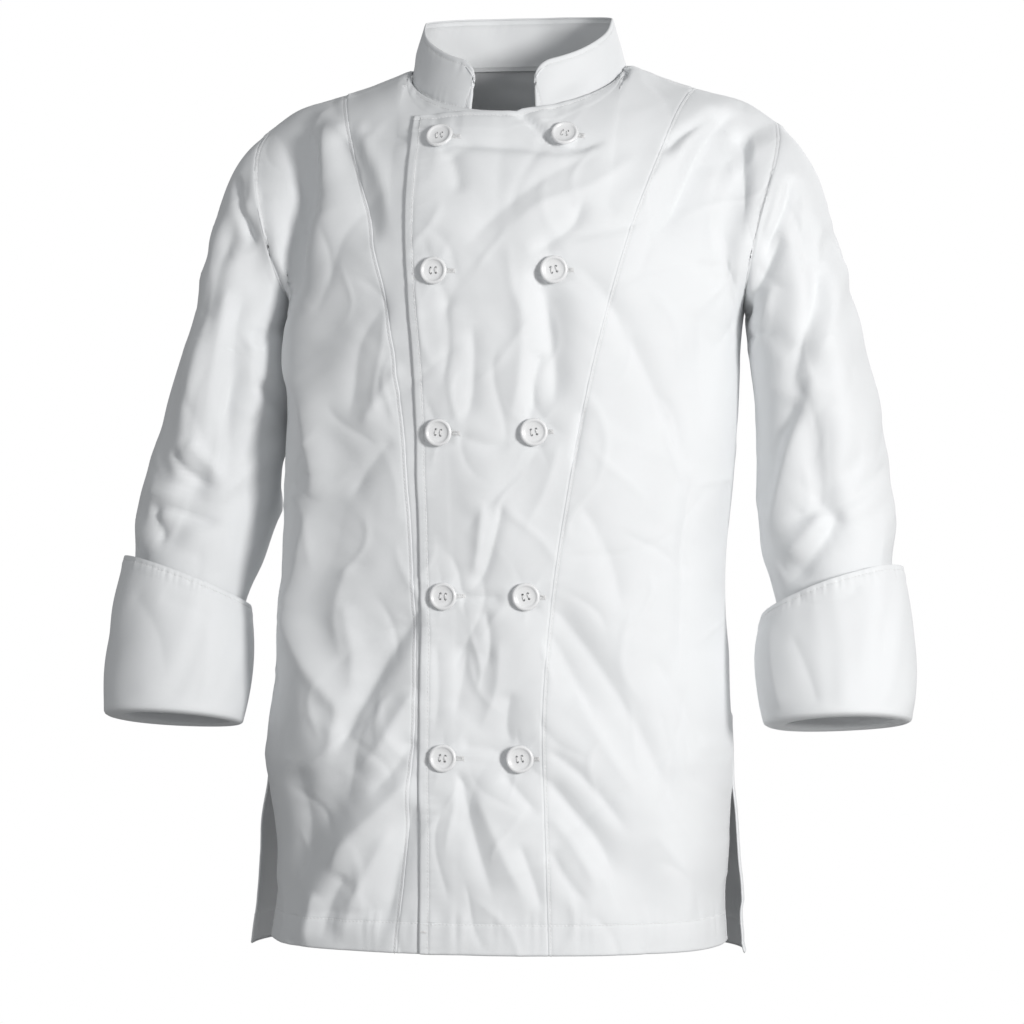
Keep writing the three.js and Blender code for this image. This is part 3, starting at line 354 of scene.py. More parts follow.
def along(rows, by, at, column):
    """Smooth value of a table's column at places along another column."""
    keys, values = rows[by], rows[column]
    if keys[0] > keys[-1]:
        keys, values = keys[::-1], values[::-1]
    last = len(keys) - 1
    i = np.clip(np.searchsorted(keys, at, side="left") - 1, 0, last - 1)
    before, after = np.maximum(i - 1, 0), np.minimum(i + 2, last)
    span = keys[i + 1] - keys[i]
    t = np.clip((at - keys[i]) / span, 0, 1)
    slope0 = (values[i + 1] - values[before]) / (keys[i + 1] - keys[before]) * span
    slope1 = (values[after] - values[i]) / (keys[after] - keys[i]) * span
    t2, t3 = t * t, t * t * t
    return (values[i] * (2 * t3 - 3 * t2 + 1) + slope0 * (t3 - 2 * t2 + t)
            + values[i + 1] * (3 * t2 - 2 * t3) + slope1 * (t3 - t2))


def smooth(at, low, high):
    t = np.clip((at - low) / (high - low), 0, 1)
    return t * t * (3 - 2 * t)


def mix(a, b, t):
    return a + (b - a) * t


def unit(v):
    return v / np.maximum(np.linalg.norm(v, axis=-1, keepdims=True), 1e-12)


def stack(x, y, z):
    return np.stack(np.broadcast_arrays(x, y, z), axis=-1).astype(float)


def folds_at(rows, a, b):
    """Summed height of a table of folds at places: each a bell that fades at its ends."""
    total = np.zeros(np.broadcast(a, b).shape)
    names = ("x0", "z0", "x1", "z1", "half", "height")
    for x0, z0, x1, z1, half, height in zip(*(rows[n] for n in names)):
        dx, dz = x1 - x0, z1 - z0
        run = np.clip(((a - x0) * dx + (b - z0) * dz) / (dx * dx + dz * dz), 0, 1)
        gap = np.hypot(a - x0 - run * dx, b - z0 - run * dz) / half
        total += height * (1 - 0.45 * (2 * run - 1) ** 4) * np.exp(-gap * gap)
    return total


def section_point(z, turn, face):
    angle = np.abs(turn) * HALF_PI
    power = 2 / ROUNDNESS
    half = along(BODY, "z", z, "half")
    if face < 0:
        gape = np.where(turn < 0, along(VENT_GAPE, "z", z, "right"), along(VENT_GAPE, "z", z, "left"))
        half = half - np.where(z < VENT_TOP_Z, gape, 0)
    depth = along(BODY, "z", z, "front" if face < 0 else "back")
    x = np.sign(turn) * half * np.sin(angle) ** power
    y = face * depth * np.maximum(np.cos(angle), 0) ** power
    return stack(along(BODY, "z", z, "middle") + x, y, z)


def neck_point(angle, face):
    level = -NECK_FRONT_DROP if face < 0 else NECK_BACK_RISE
    reach = NECK_FRONT if face < 0 else NECK_BACK
    return stack(NECK_HALF * np.sin(angle), face * reach * np.cos(angle),
                 NECK_SIDE_Z + level * np.cos(angle))


def top_edge(turn, face):
    """Neckline, shoulder seam and armhole of a half, and the way cloth runs into them."""
    side = np.where(turn < 0, -1.0, 1.0)
    share = np.abs(turn)
    q = np.clip(share / NECK_TURN, 0, 1)
    neck = neck_point(q * HALF_PI * side, face)
    neck_way = stack(0 * q, -face * mix(0.5, 0.95, q), mix(0.87, 0.3, q))
    q = np.clip((share - NECK_TURN) / (TIP_TURN - NECK_TURN), 0, 1)
    x = mix(SHOULDER["x"][0], SHOULDER["x"][-1], q)
    seam = stack(side * x, along(SHOULDER, "x", x, "y"), along(SHOULDER, "x", x, "z"))
    seam_way = stack(side * 0.5 * q * q, -face * 0.95 + 0 * q, mix(0.3, 0.1, q))
    t = np.clip((share - TIP_TURN) / (1 - TIP_TURN), 0, 1)
    arm = stack(side * along(ARMHOLE, "t", t, "x"),
                face * along(ARMHOLE, "t", t, "front" if face < 0 else "back"),
                along(ARMHOLE, "t", t, "z"))
    arm_way = stack(side * along(ARMHOLE, "t", t, "inX"), -face * along(ARMHOLE, "t", t, "inY"),
                    along(ARMHOLE, "t", t, "inZ"))
    on_neck = (share <= NECK_TURN)[..., None]
    on_seam = (share <= TIP_TURN)[..., None]
    point = np.where(on_neck, neck, np.where(on_seam, seam, arm))
    turned = smooth(share, TIP_TURN - TIP_BLEND, TIP_TURN + TIP_BLEND)[..., None]
    way = np.where(on_neck, neck_way, mix(seam_way, arm_way, turned))
    return point, unit(way)


def bezier(a, b, c, d, t):
    t = t[..., None]
    s = 1 - t
    return a * s ** 3 + 3 * b * s * s * t + 3 * c * s * t * t + d * t ** 3


def body_point(turn, rise, face):
    """The plain body: rise 0 is the hem, 1 the line below the underarm, 2 the top edge."""
    turn, rise = np.broadcast_arrays(np.asarray(turn, float), np.asarray(rise, float))
    line = UNDERARM_Z - SIDE_DIP * np.abs(turn) ** 3
    hem = FRONT_HEM_Z if face < 0 else BACK_HEM_Z
    low = section_point(mix(hem, line, np.clip(rise, 0, 1)), turn, face)
    start = section_point(line, turn, face)
    end, way = top_edge(turn, face)
    reach = np.linalg.norm(end - start, axis=-1, keepdims=True) * 0.36
    up = np.array([0.0, 0.0, 1.0])
    high = bezier(start, start + up * reach, end - way * reach, end, np.clip(rise - 1, 0, 1))
    return np.where((rise <= 1)[..., None], low, high)


NUDGE = 0.004


def body_normal(turn, rise, face):
    u = np.clip(turn, -1 + NUDGE, 1 - NUDGE)
    u = np.where(np.abs(u) < NUDGE, NUDGE, u)
    v = np.clip(rise, NUDGE, 2 - NUDGE)
    across = body_point(u + NUDGE, v, face) - body_point(u - NUDGE, v, face)
    up = body_point(u, v + NUDGE, face) - body_point(u, v - NUDGE, face)
    normal = unit(np.cross(across, up))
    point = body_point(u, v, face)
    inside = stack(0 * point[..., 0], 0, np.minimum(point[..., 2], -0.15) - 0.02)
    flip = np.sum(normal * (point - inside), axis=-1, keepdims=True) < 0
    return np.where(flip, -normal, normal)


def soft_line(corners, each=6):
    """A smooth line through places, in many short stretches."""
    p = np.array(corners, dtype=float)
    p = np.vstack([2 * p[0] - p[1], p, 2 * p[-1] - p[-2]])
    t = np.linspace(0, 1, each, endpoint=False)[:, None]
    parts = [0.5 * (2 * b + (c - a) * t + (2 * a - 5 * b + 4 * c - d) * t ** 2
                    + (3 * b - a - 3 * c + d) * t ** 3)
             for a, b, c, d in zip(p, p[1:], p[2:], p[3:])]
    return np.vstack([*parts, p[-2:-1]])


CREASE_ROUND = 0.0012


def creases_at(lines, a, b):
    """Summed height of creases at places."""
    a, b = np.broadcast_arrays(a, b)
    total = np.zeros(a.shape)
    for height, left, right, *corners in lines:
        line = soft_line(corners) / 1000
        reach = 0.003 * max(left, right)
        low, high = line.min(axis=0) - reach, line.max(axis=0) + reach
        near = (a > low[0]) & (a < high[0]) & (b > low[1]) & (b < high[1])
        x, z = a[near], b[near]
        best, side, run = np.full(x.shape, 9.0), np.zeros(x.shape), np.zeros(x.shape)
        for i, (start, step) in enumerate(zip(line, np.diff(line, axis=0))):
            t = np.clip(((x - start[0]) * step[0] + (z - start[1]) * step[1]) / step.dot(step), 0, 1)
            ox, oz = x - start[0] - t * step[0], z - start[1] - t * step[1]
            gap = np.hypot(ox, oz)
            closer = gap < best
            best = np.where(closer, gap, best)
            side = np.where(closer, step[0] * oz - step[1] * ox, side)
            run = np.where(closer, (i + t) / (len(line) - 1), run)
        width = np.where(side > 0, right, left) / 1000
        fade = smooth(run, 0, 0.16) * (1 - smooth(run, 0.72, 1))
        gap = (np.hypot(best, CREASE_ROUND) - CREASE_ROUND) / width
        total[near] += height / 1000 * fade * np.exp(-gap * (1 + 0.35 * gap))
    return total


def crumple(a, b, seed, wave, count=9):
    """An uneven field of soft creases about one wave apart, from -1 to 1."""
    random = np.random.default_rng(seed)
    total = np.zeros(np.broadcast(a, b).shape)
    warp_a = a + 0.35 * wave * np.sin(b / wave * 2.1 + seed)
    warp_b = b + 0.35 * wave * np.sin(a / wave * 1.7 + 2.0 * seed)
    for _ in range(count):
        angle = random.uniform(0, math.pi)
        rate = 2 * math.pi / (wave * random.uniform(0.8, 2.2))
        phase = random.uniform(0, 2 * math.pi)
        total += np.sin((warp_a * math.cos(angle) + warp_b * math.sin(angle)) * rate + phase)
    return total / math.sqrt(count / 2)


def pressed(a, b, seed, wave, count=8):
    """An uneven field of thin sharp ridges and troughs, as crumpled cotton keeps them."""
    random = np.random.default_rng(seed)
    total = np.zeros(np.broadcast(a, b).shape)
    for i in range(count):
        angle = random.uniform(0, math.pi)
        rate = math.pi / (wave * random.uniform(0.8, 1.5))
        across = a * math.cos(angle) + b * math.sin(angle)
        down = b * math.cos(angle) - a * math.sin(angle)
        bent = across + 0.12 * wave * np.sin(down * rate * 1.3 + random.uniform(0, 6))
        line = np.abs(np.sin(bent * rate + random.uniform(0, 6)))
        mask = smooth(np.sin(down * rate * 0.9 + random.uniform(0, 6))
                      * np.sin(across * rate * 0.5 + random.uniform(0, 6)), 0.1, 0.7)
        total += (-1) ** i * mask * np.exp(-(np.hypot(line, 0.04) - 0.04) * 8)
    return total


# How much higher the creases are than their tables say, and the height that they level off at.
CREASE = 2.15
CREASE_LIMIT = 0.0075
# Small uneven relief of the body's cloth: height, and distance from wave to wave.
CRUMPLE = (0.0006, 0.07)
FINE_CRUMPLE = (0.00016, 0.026)
PRESSED = (0.0011, 0.075)
LAYER_EASE = 0.24


def limited(height):
    """Creases' height with the highest ones levelled off."""
    return CREASE_LIMIT * np.tanh(height / CREASE_LIMIT)


def cloth_lift(point, turn, rise, face, upper):
    """How far the cloth stands off the plain body: folds, creases and the layer it is in."""
    middle = along(BODY, "z", np.clip(point[..., 2], BACK_HEM_Z, UNDERARM_Z), "middle")
    a, b = point[..., 0] - middle, point[..., 2]
    sewn = smooth(b, VENT_TOP_Z - 0.03, VENT_TOP_Z + 0.01)
    at_side = 1 - sewn * (1 - smooth(1 - np.abs(turn), 0, 0.12))
    lift = folds_at(FRONT_FOLDS if face < 0 else BACK_FOLDS, a, b) * (1 - smooth(rise, 1.75, 1.97))
    fine = limited(CREASE * creases_at(FRONT_CREASES if face < 0 else BACK_CREASES, a, b))
    seed = 4 + face
    fine += CRUMPLE[0] * crumple(a, b, seed, CRUMPLE[1])
    fine += FINE_CRUMPLE[0] * crumple(a, b, seed + 10, FINE_CRUMPLE[1])
    fine += PRESSED[0] * pressed(a, b, seed + 20, PRESSED[1])
    lift = lift * smooth(1 - np.abs(turn), 0, 0.12) + fine * at_side * (1 - smooth(rise, 1.94, 1.998))
    if face < 0:
        lift += button_pull(point)
    if upper:
        lift = lift + LAYER * (1 - smooth(turn, LIFT_TURN, LIFT_TURN + LAYER_EASE))
    return lift


class Cloth:
    """A piece of cloth as a grid: points, outward directions and distances from its edges."""

    def __init__(self, name, points, outside, closed=False):
        self.name = name
        self.points = points
        self.closed = closed
        self.outside = outside
        self.turned = False
        self.measure()

    def measure(self):
        p = self.points
        across = np.roll(p, -1, 0) - np.roll(p, 1, 0) if self.closed else np.gradient(p, axis=0)
        normal = unit(np.cross(across, np.gradient(p, axis=1)))
        self.flip = bool(np.mean(np.sum(normal * (p - self.outside), axis=-1)) < 0) != self.turned
        if self.flip:
            normal = -normal
        self.normals = normal
        self.left, self.low = lengths_along(p, 0), lengths_along(p, 1)
        self.right, self.high = self.left[-1] - self.left, self.low[:, -1:] - self.low

    def push(self, lift):
        self.points = self.points + self.normals * lift[..., None]
        self.measure()

    def line(self, edge, distance, start=0.0, end=1.0):
        """Points and directions along the cloth at a distance from one of its edges."""
        field = getattr(self, edge)
        rows = edge in ("left", "right")
        p = self.points if rows else self.points.transpose(1, 0, 2)
        n = self.normals if rows else self.normals.transpose(1, 0, 2)
        f = field if rows else field.T
        points, normals = [], []
        count = f.shape[1]
        for j in range(int(start * (count - 1)), int(end * (count - 1)) + 1):
            order = np.argsort(f[:, j])
            points.append([np.interp(distance, f[order, j], p[order, j, k]) for k in range(3)])
            normals.append([np.interp(distance, f[order, j], n[order, j, k]) for k in range(3)])
        return np.array(points), unit(np.array(normals))

    def to_object(self, material):
        n, m = self.points.shape[:2]
        outer = self.points + self.normals * WALL / 2
        mesh = bpy.data.meshes.new(self.name)
        index = np.arange(n * m).reshape(n, m)
        last = n if self.closed else n - 1
        i = np.arange(last)
        ring = np.stack([index[i][:, :-1], index[(i + 1) % n][:, :-1],
                         index[(i + 1) % n][:, 1:], index[i][:, 1:]], axis=-1).reshape(-1, 4)
        if self.flip:
            ring = ring[:, ::-1]
        mesh.from_pydata(outer.reshape(-1, 3).tolist(), [], ring.tolist())
        layer = mesh.uv_layers.new(name="cloth")
        loops = np.empty(len(mesh.loops), dtype=np.int32)
        mesh.loops.foreach_get("vertex_index", loops)
        u = self.left.mean(axis=1)
        around = u[loops // m].reshape(-1, 4)
        if self.closed:
            girth = u[-1] + u[1]
            around[(around.max(axis=1) > 0.6 * girth)[:, None] & (around < 0.2 * girth)] += girth
        v = self.low.reshape(-1)[loops]
        layer.data.foreach_set("uv", np.stack([around.reshape(-1), v], axis=-1).reshape(-1))
        obj = placed(self.name, smoothed(mesh), material)
        solidify = obj.modifiers.new("wall", "SOLIDIFY")
        solidify.thickness = CLOTH
        solidify.offset = -1.0
        solidify.use_even_offset = False
        return applied(obj)


def placed(name, mesh, material=None):
    """A new object of the scene with the mesh."""
    obj = bpy.data.objects.new(name, mesh)
    bpy.context.scene.collection.objects.link(obj)
    if material is not None:
        mesh.materials.append(material)
    return obj


def smoothed(mesh):
    mesh.polygons.foreach_set("use_smooth", [True] * len(mesh.polygons))
    return mesh


def as_mesh(bm, name):
    """The finished mesh of a bmesh, which is freed."""
    mesh = bpy.data.meshes.new(name)
    bm.to_mesh(mesh)
    bm.free()
    return mesh


def applied(obj):
    """The object with its modifiers' result as its plain mesh."""
    bpy.context.view_layer.update()
    graph = bpy.context.evaluated_depsgraph_get()
    mesh = bpy.data.meshes.new_from_object(obj.evaluated_get(graph))
    obj.modifiers.clear()
    old = obj.data
    obj.data = mesh
    bpy.data.meshes.remove(old)
    return obj


def places(length, step, start, end):
    """Places along a length: at fixed distances by its ends and evenly between them."""
    start, end = (0.0, *start), (0.0, *end)
    count = max(int((np.mean(length) - start[-1] - end[-1]) / step), 2)
    share = np.arange(1, count) / count
    length = np.asarray(length, float)[..., None]
    middle = start[-1] + (length - start[-1] - end[-1]) * share
    flat = np.zeros(length.shape)
    return np.concatenate([flat + start, middle, length - end[::-1]], axis=-1)


def lengths_along(points, axis):
    """Distance from the first point to each along an axis of a grid of points."""
    total = np.cumsum(np.linalg.norm(np.diff(points, axis=axis), axis=-1), axis=axis)
    return np.insert(total, 0, 0, axis=axis)


def spread(length, step, fine=(0.0004, 0.001, 0.002)):
    return places(length, step, fine, fine) / length


def front_line(rows, sign, shift, z):
    level = np.clip(z, rows["z"][0], rows["z"][-1])
    middle = along(BODY, "z", np.clip(z, BACK_HEM_Z, UNDERARM_Z), "middle")
    fade = 1 - smooth(z, UNDERARM_Z, -0.04)
    return middle * fade + sign * along(rows, "z", level, "off") + shift


def halved(low, high, past, rounds):
    """Bounds brought together round the value beyond which the test holds."""
    for _ in range(rounds):
        guess = (low + high) / 2
        beyond = past(guess)
        low, high = np.where(beyond, low, guess), np.where(beyond, guess, high)
    return low, high


def turn_on_line(rows, sign, shift, rise):
    """The turn at which a row of the front meets a line down the front."""
    def past(turn):
        p = body_point(turn, rise, -1)
        return p[..., 0] > front_line(rows, sign, shift, p[..., 2])

    low, high = halved(np.full(rise.shape, -0.999), np.full(rise.shape, 0.999), past, 34)
    return (low + high) / 2


def arc_rise(turn, face):
    """Arc lengths from the hem up one column, with the rise at each."""
    rise = np.linspace(0, 2, 401)
    return rise, lengths_along(body_point(np.full(rise.shape, turn), rise, face), 0)


# Distance between the grid's lines on a panel, and the distances from each kind of edge at which
# its cloth bends.
STEP = 0.0024
UNDERLAP_STEP = 0.0028
BACK_STEP = 0.0045
SEAM = (0.0003, 0.0008, 0.0015, 0.0022, 0.003, 0.0045)
HEM = (0.0004, 0.001, 0.002, 0.005, 0.009, 0.013, 0.017, 0.021, 0.0238, 0.0246, 0.025, 0.0255,
       0.0264)
EDGE = (0.0004, 0.001, 0.002, 0.004, 0.006, 0.0068, 0.0075, 0.0082, 0.0092)
NECK_EDGE = (0.0004, 0.001, 0.002, 0.004, 0.0049, 0.0055, 0.0061, 0.0072, 0.0092, 0.0112, 0.0132,
             0.0152, 0.0172, 0.0186, 0.02, 0.0214)
CHEST = np.array([0.0, 0.0, -0.3])


def eased(points, mask, rounds=70):
    """Evens out sharp bends of a grid of points where the mask is above zero."""
    mask = mask.copy()
    mask[[0, -1]] = 0
    mask[:, [0, -1]] = 0
    points = points.copy()
    a = np.linalg.norm(np.diff(points, axis=0), axis=-1, keepdims=True) + 1e-9
    b = np.linalg.norm(np.diff(points, axis=1), axis=-1, keepdims=True) + 1e-9
    for _ in range(rounds):
        inner = points[1:-1, 1:-1]
        across = ((points[:-2, 1:-1] * a[1:, 1:-1] + points[2:, 1:-1] * a[:-1, 1:-1])
                  / (a[1:, 1:-1] + a[:-1, 1:-1]))
        down = ((points[1:-1, :-2] * b[1:-1, 1:] + points[1:-1, 2:] * b[1:-1, :-1])
                / (b[1:-1, 1:] + b[1:-1, :-1]))
        inner += ((across + down) / 2 - inner) * 0.8 * mask[1:-1, 1:-1, None]
    return points


def panel(name, face, upper, lines, edges, top=None, step=STEP):
    """A panel of the body between two lines, each a function of the rise giving a turn."""
    left, right = lines
    levels = np.linspace(0, 2, 101)
    share = np.linspace(0, 1, 161)
    rows = body_point(mix(left(levels)[:, None], right(levels)[:, None], share), levels[:, None], face)
    arcs = lengths_along(rows, 1)
    wanted = places(arcs[:, -1], step, edges[0], edges[1])
    shares = np.array([np.interp(w, arc, share) for w, arc in zip(wanted, arcs)]).T

    def turn_at(rise):
        s = np.array([np.interp(r, levels, row) for r, row in zip(rise, shares)])
        return mix(left(rise), right(rise), s)

    columns = len(shares)
    reach = np.full((columns, 1), 2.0)
    if top is not None:
        ends = [top["z"][i] if abs(top["x"][i]) > 0.1 else 1 for i in (0, -1)]

        def past(rise):
            p = body_point(turn_at(rise), rise, face)
            return p[..., 2] > np.interp(p[..., 0], top["x"], top["z"], left=ends[0], right=ends[1])

        low, high = halved(np.full((columns, 1), 1.0), np.full((columns, 1), 2.0), past, 24)
        reach = np.where(high > 1.999, 2.0, (low + high) / 2)
    middle = np.array([1.0])
    rises, arc = arc_rise(float(0.5 * (left(middle) + right(middle))[0]), face)
    wanted = places(np.interp(reach[:, 0], rises, arc), step, edges[2], edges[3])
    rise = np.interp(wanted, arc, rises)
    turn = turn_at(rise)
    plain = body_point(turn, rise, face)
    lift = cloth_lift(plain, turn, rise, face, upper)
    armhole = smooth(np.abs(turn), 0.64, 0.78) * smooth(rise, 1.1, 1.4)
    plain = eased(plain, armhole)
    normal = unit(mix(body_normal(turn, rise, face), Cloth(name, plain, CHEST).normals,
                      armhole[..., None]))
    return Cloth(name, plain + normal * lift[..., None], CHEST)


# Radius of the rounded edges, then the distance of each line of stitches from its edge.
FOLD_ROLL = 0.0012
EDGE_ROLL = 0.0009
SEAM_ROLL = 0.00045
HEM_WIDTH = 0.025
EDGE_WIDTH = 0.0075
NECK_STITCH = 0.0055
SEAM_STITCH = 0.0022
ARMHOLE_STITCH = 0.004
VENT_STITCH = 0.008
# Height of the hem's doubled cloth, and the width and height of a front's and a neck's facing.
HEM_HEIGHT = 0.0004
FRONT_FACING = (0.03, 0.00025)
NECK_FACING = (0.02, 0.0005)
VENT_SHARE = (0.0, 0.2)
GROOVE_DEPTH = 0.0004
GROOVE_WIDTH = 0.0008


def rolled(cloth, *edges, radius=EDGE_ROLL):
    """Rounds the outer face down at the named edges."""
    drop = np.zeros(cloth.left.shape)
    for edge in edges:
        d = np.clip(getattr(cloth, edge) / radius, 0, 1)
        drop = np.maximum(drop, radius * (1 - np.sqrt(1 - (1 - d) ** 2)))
    cloth.push(-drop)


def stepped(cloth, edge, width, height, soft=0.0009):
    """Raises a band along an edge, as a turned hem does."""
    cloth.push(height * (1 - smooth(getattr(cloth, edge), width - soft, width + soft)))


def sewn(cloth, edge, distance, seed, pull=0.0005, wave=0.009, reach=0.010, within=None):
    """The groove that stitches draw and the small ripples that they pucker into the cloth."""
    d = getattr(cloth, edge)
    along_edge = cloth.low if edge in ("left", "right") else cloth.left
    w = along_edge / wave
    uneven = 0.35 * np.sin(0.9 * w + seed) + 0.22 * np.sin(2.3 * w + 2 * seed)
    ripple = np.sin(2 * math.pi * (w + uneven))
    strength = 0.55 + 0.45 * np.sin(0.71 * w + 1.3 * seed) * np.sin(0.37 * w + seed)
    inner = np.exp(-(np.maximum(d - distance, 0) / reach) ** 2)
    outer = smooth(d, 0.0, distance) * 0.75 + 0.25
    lift = pull * ripple * strength * inner * outer
    lift -= GROOVE_DEPTH * np.exp(-((d - distance) / GROOVE_WIDTH) ** 2)
    if within is not None:
        share = along_edge / along_edge.max()
        inside, beyond = (smooth(share, end - 0.01, end + 0.01) for end in within)
        lift *= inside * (1 - beyond)
    cloth.push(lift)


class Value:
    """A number in a node tree, with arithmetic that adds Math nodes."""

    def __init__(self, tree, socket):
        self.tree = tree
        self.socket = socket

    def _math(self, operation, first, second=None):
        node = self.tree.nodes.new("ShaderNodeMath")
        node.operation = operation
        for place, item in enumerate((first, second)):
            if isinstance(item, Value):
                self.tree.links.new(item.socket, node.inputs[place])
            elif item is not None:
                node.inputs[place].default_value = item
        return Value(self.tree, node.outputs[0])

    def __add__(self, other):
        return self._math("ADD", self, other)

    __radd__ = __add__

    def __mul__(self, other):
        return self._math("MULTIPLY", self, other)

    def __sub__(self, other):
        return self._math("SUBTRACT", self, other)

    def sine(self):
        return self._math("SINE", self)

    def clamped(self, low, high):
        return self._math("MINIMUM", self._math("MAXIMUM", self, low), high)


class Finish:
    """A material being built: adds nodes and keeps the shader."""

    def __init__(self, name):
        self.material = bpy.data.materials.new(name)
        self.material.use_nodes = True
        self.tree = self.material.node_tree
        self.shader = self.tree.nodes["Principled BSDF"]

    def node(self, kind, settings=None, **sockets):
        node = self.tree.nodes.new(kind)
        for key, value in (settings or {}).items():
            setattr(node, key, value)
        for key, value in sockets.items():
            socket = node.inputs[key.replace("_", " ")]
            if isinstance(value, Value):
                self.tree.links.new(value.socket, socket)
            elif isinstance(value, bpy.types.NodeSocket):
                self.tree.links.new(value, socket)
            else:
                socket.default_value = value
        return node

    def value(self, node, output=0):
        return Value(self.tree, node.outputs[output])

    def noise(self, scale, detail):
        """Noise over the object, as a number."""
        place = self.node("ShaderNodeTexCoord")
        return self.value(self.node("ShaderNodeTexNoise", Vector=place.outputs["Object"],
                                    Scale=scale, Detail=detail))

    def relief(self, height, strength, distance):
        bump = self.node("ShaderNodeBump", Height=height, Strength=strength, Distance=distance)
        self.feed("Normal", bump.outputs[0])

    def keep(self, **sockets):
        for name, value in sockets.items():
            self.shader.inputs[name.replace("_", " ")].default_value = value

    def feed(self, name, value):
        socket = self.shader.inputs[name]
        self.tree.links.new(value.socket if isinstance(value, Value) else value, socket)

    def mix_colours(self, factor, first, second):
        node = self.node("ShaderNodeMix", {"data_type": "RGBA"})
        self.tree.links.new(factor.socket, node.inputs[0])
        node.inputs[6].default_value = (*first, 1)
        node.inputs[7].default_value = (*second, 1)
        return node.outputs[2]


def cotton(name, colour, shade, twill, weave_height):
    """White cotton twill: fine diagonal ribs, slubs and a little unevenness of colour."""
    finish = Finish(name)
    place = finish.node("ShaderNodeTexCoord")
    uv = finish.node("ShaderNodeSeparateXYZ", Vector=place.outputs["UV"])
    u, v = finish.value(uv, 0), finish.value(uv, 1)
    rate = 2 * math.pi / twill
    ribs = ((u + v * 1.6) * rate).sine()
    cross = ((u - v * 0.6) * (rate * 0.8)).sine()
    slub, cloud = finish.noise(1400.0, 2.0), finish.noise(14.0, 3.0)
    finish.relief(ribs * 0.5 + cross * 0.2 + slub * 0.8, 0.35, weave_height)
    tone = (cloud * 0.55 + slub * 0.25 + ribs * 0.04).clamped(0.0, 1.0)
    finish.feed("Base Color", finish.mix_colours(tone, shade, colour))
    finish.feed("Roughness", 0.68 + cloud * 0.14 + slub * 0.08)
    finish.keep(Sheen_Weight=0.12, Sheen_Roughness=0.5, Specular_IOR_Level=0.32)
    return finish.material


def thread_finish(colour):
    """Twisted sewing thread."""
    finish = Finish("sewing_thread")
    fine = finish.noise(2600.0, 1.0)
    finish.feed("Base Color", finish.mix_colours(fine, tuple(c * 0.82 for c in colour), colour))
    finish.feed("Roughness", 0.55 + fine * 0.2)
    finish.relief(fine, 0.5, 0.0001)
    return finish.material


def button_finish(colour):
    """Polished white polyester with a faint cloud in it and fine rubbing marks."""
    finish = Finish("white_button")
    cloud, marks = finish.noise(70.0, 3.0), finish.noise(1500.0, 2.0)
    tone = (cloud * 0.8 + marks * 0.2).clamped(0.0, 1.0)
    finish.feed("Base Color", finish.mix_colours(tone, tuple(c * 0.93 for c in colour), colour))
    finish.feed("Roughness", 0.2 + marks * 0.16)
    finish.relief(marks, 0.12, 0.00005)
    finish.keep(Coat_Weight=0.35, Coat_Roughness=0.12)
    return finish.material


# Materials and cloth that later steps use, by name.
MADE = {}


def settings():
    return bpy.context.scene.jacket


def cotton_material():
    if "cotton" not in MADE:
        s = settings()
        MADE["cotton"] = cotton("white_cotton", tuple(s.cloth_colour), tuple(s.cloth_shade),
                                s.twill_pitch, s.weave_height)
    return MADE["cotton"]


def thread_material():
    if "thread" not in MADE:
        MADE["thread"] = thread_finish(tuple(settings().thread_colour))
    return MADE["thread"]


def finish_cloth(cloth):
    """Makes the cloth's object, hides the solid that it stands in for and keeps the cloth by name."""
    obj = cloth.to_object(cotton_material())
    obj.name = cloth.name + "_cloth"
    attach(obj, "root")
    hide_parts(cloth.name)
    MADE[cloth.name] = cloth


def constant_turn(value):
    return lambda rise: np.full(np.shape(rise), float(value))


def front_turn(rows, sign, shift=0.0):
    return lambda rise: turn_on_line(rows, sign, shift, rise)


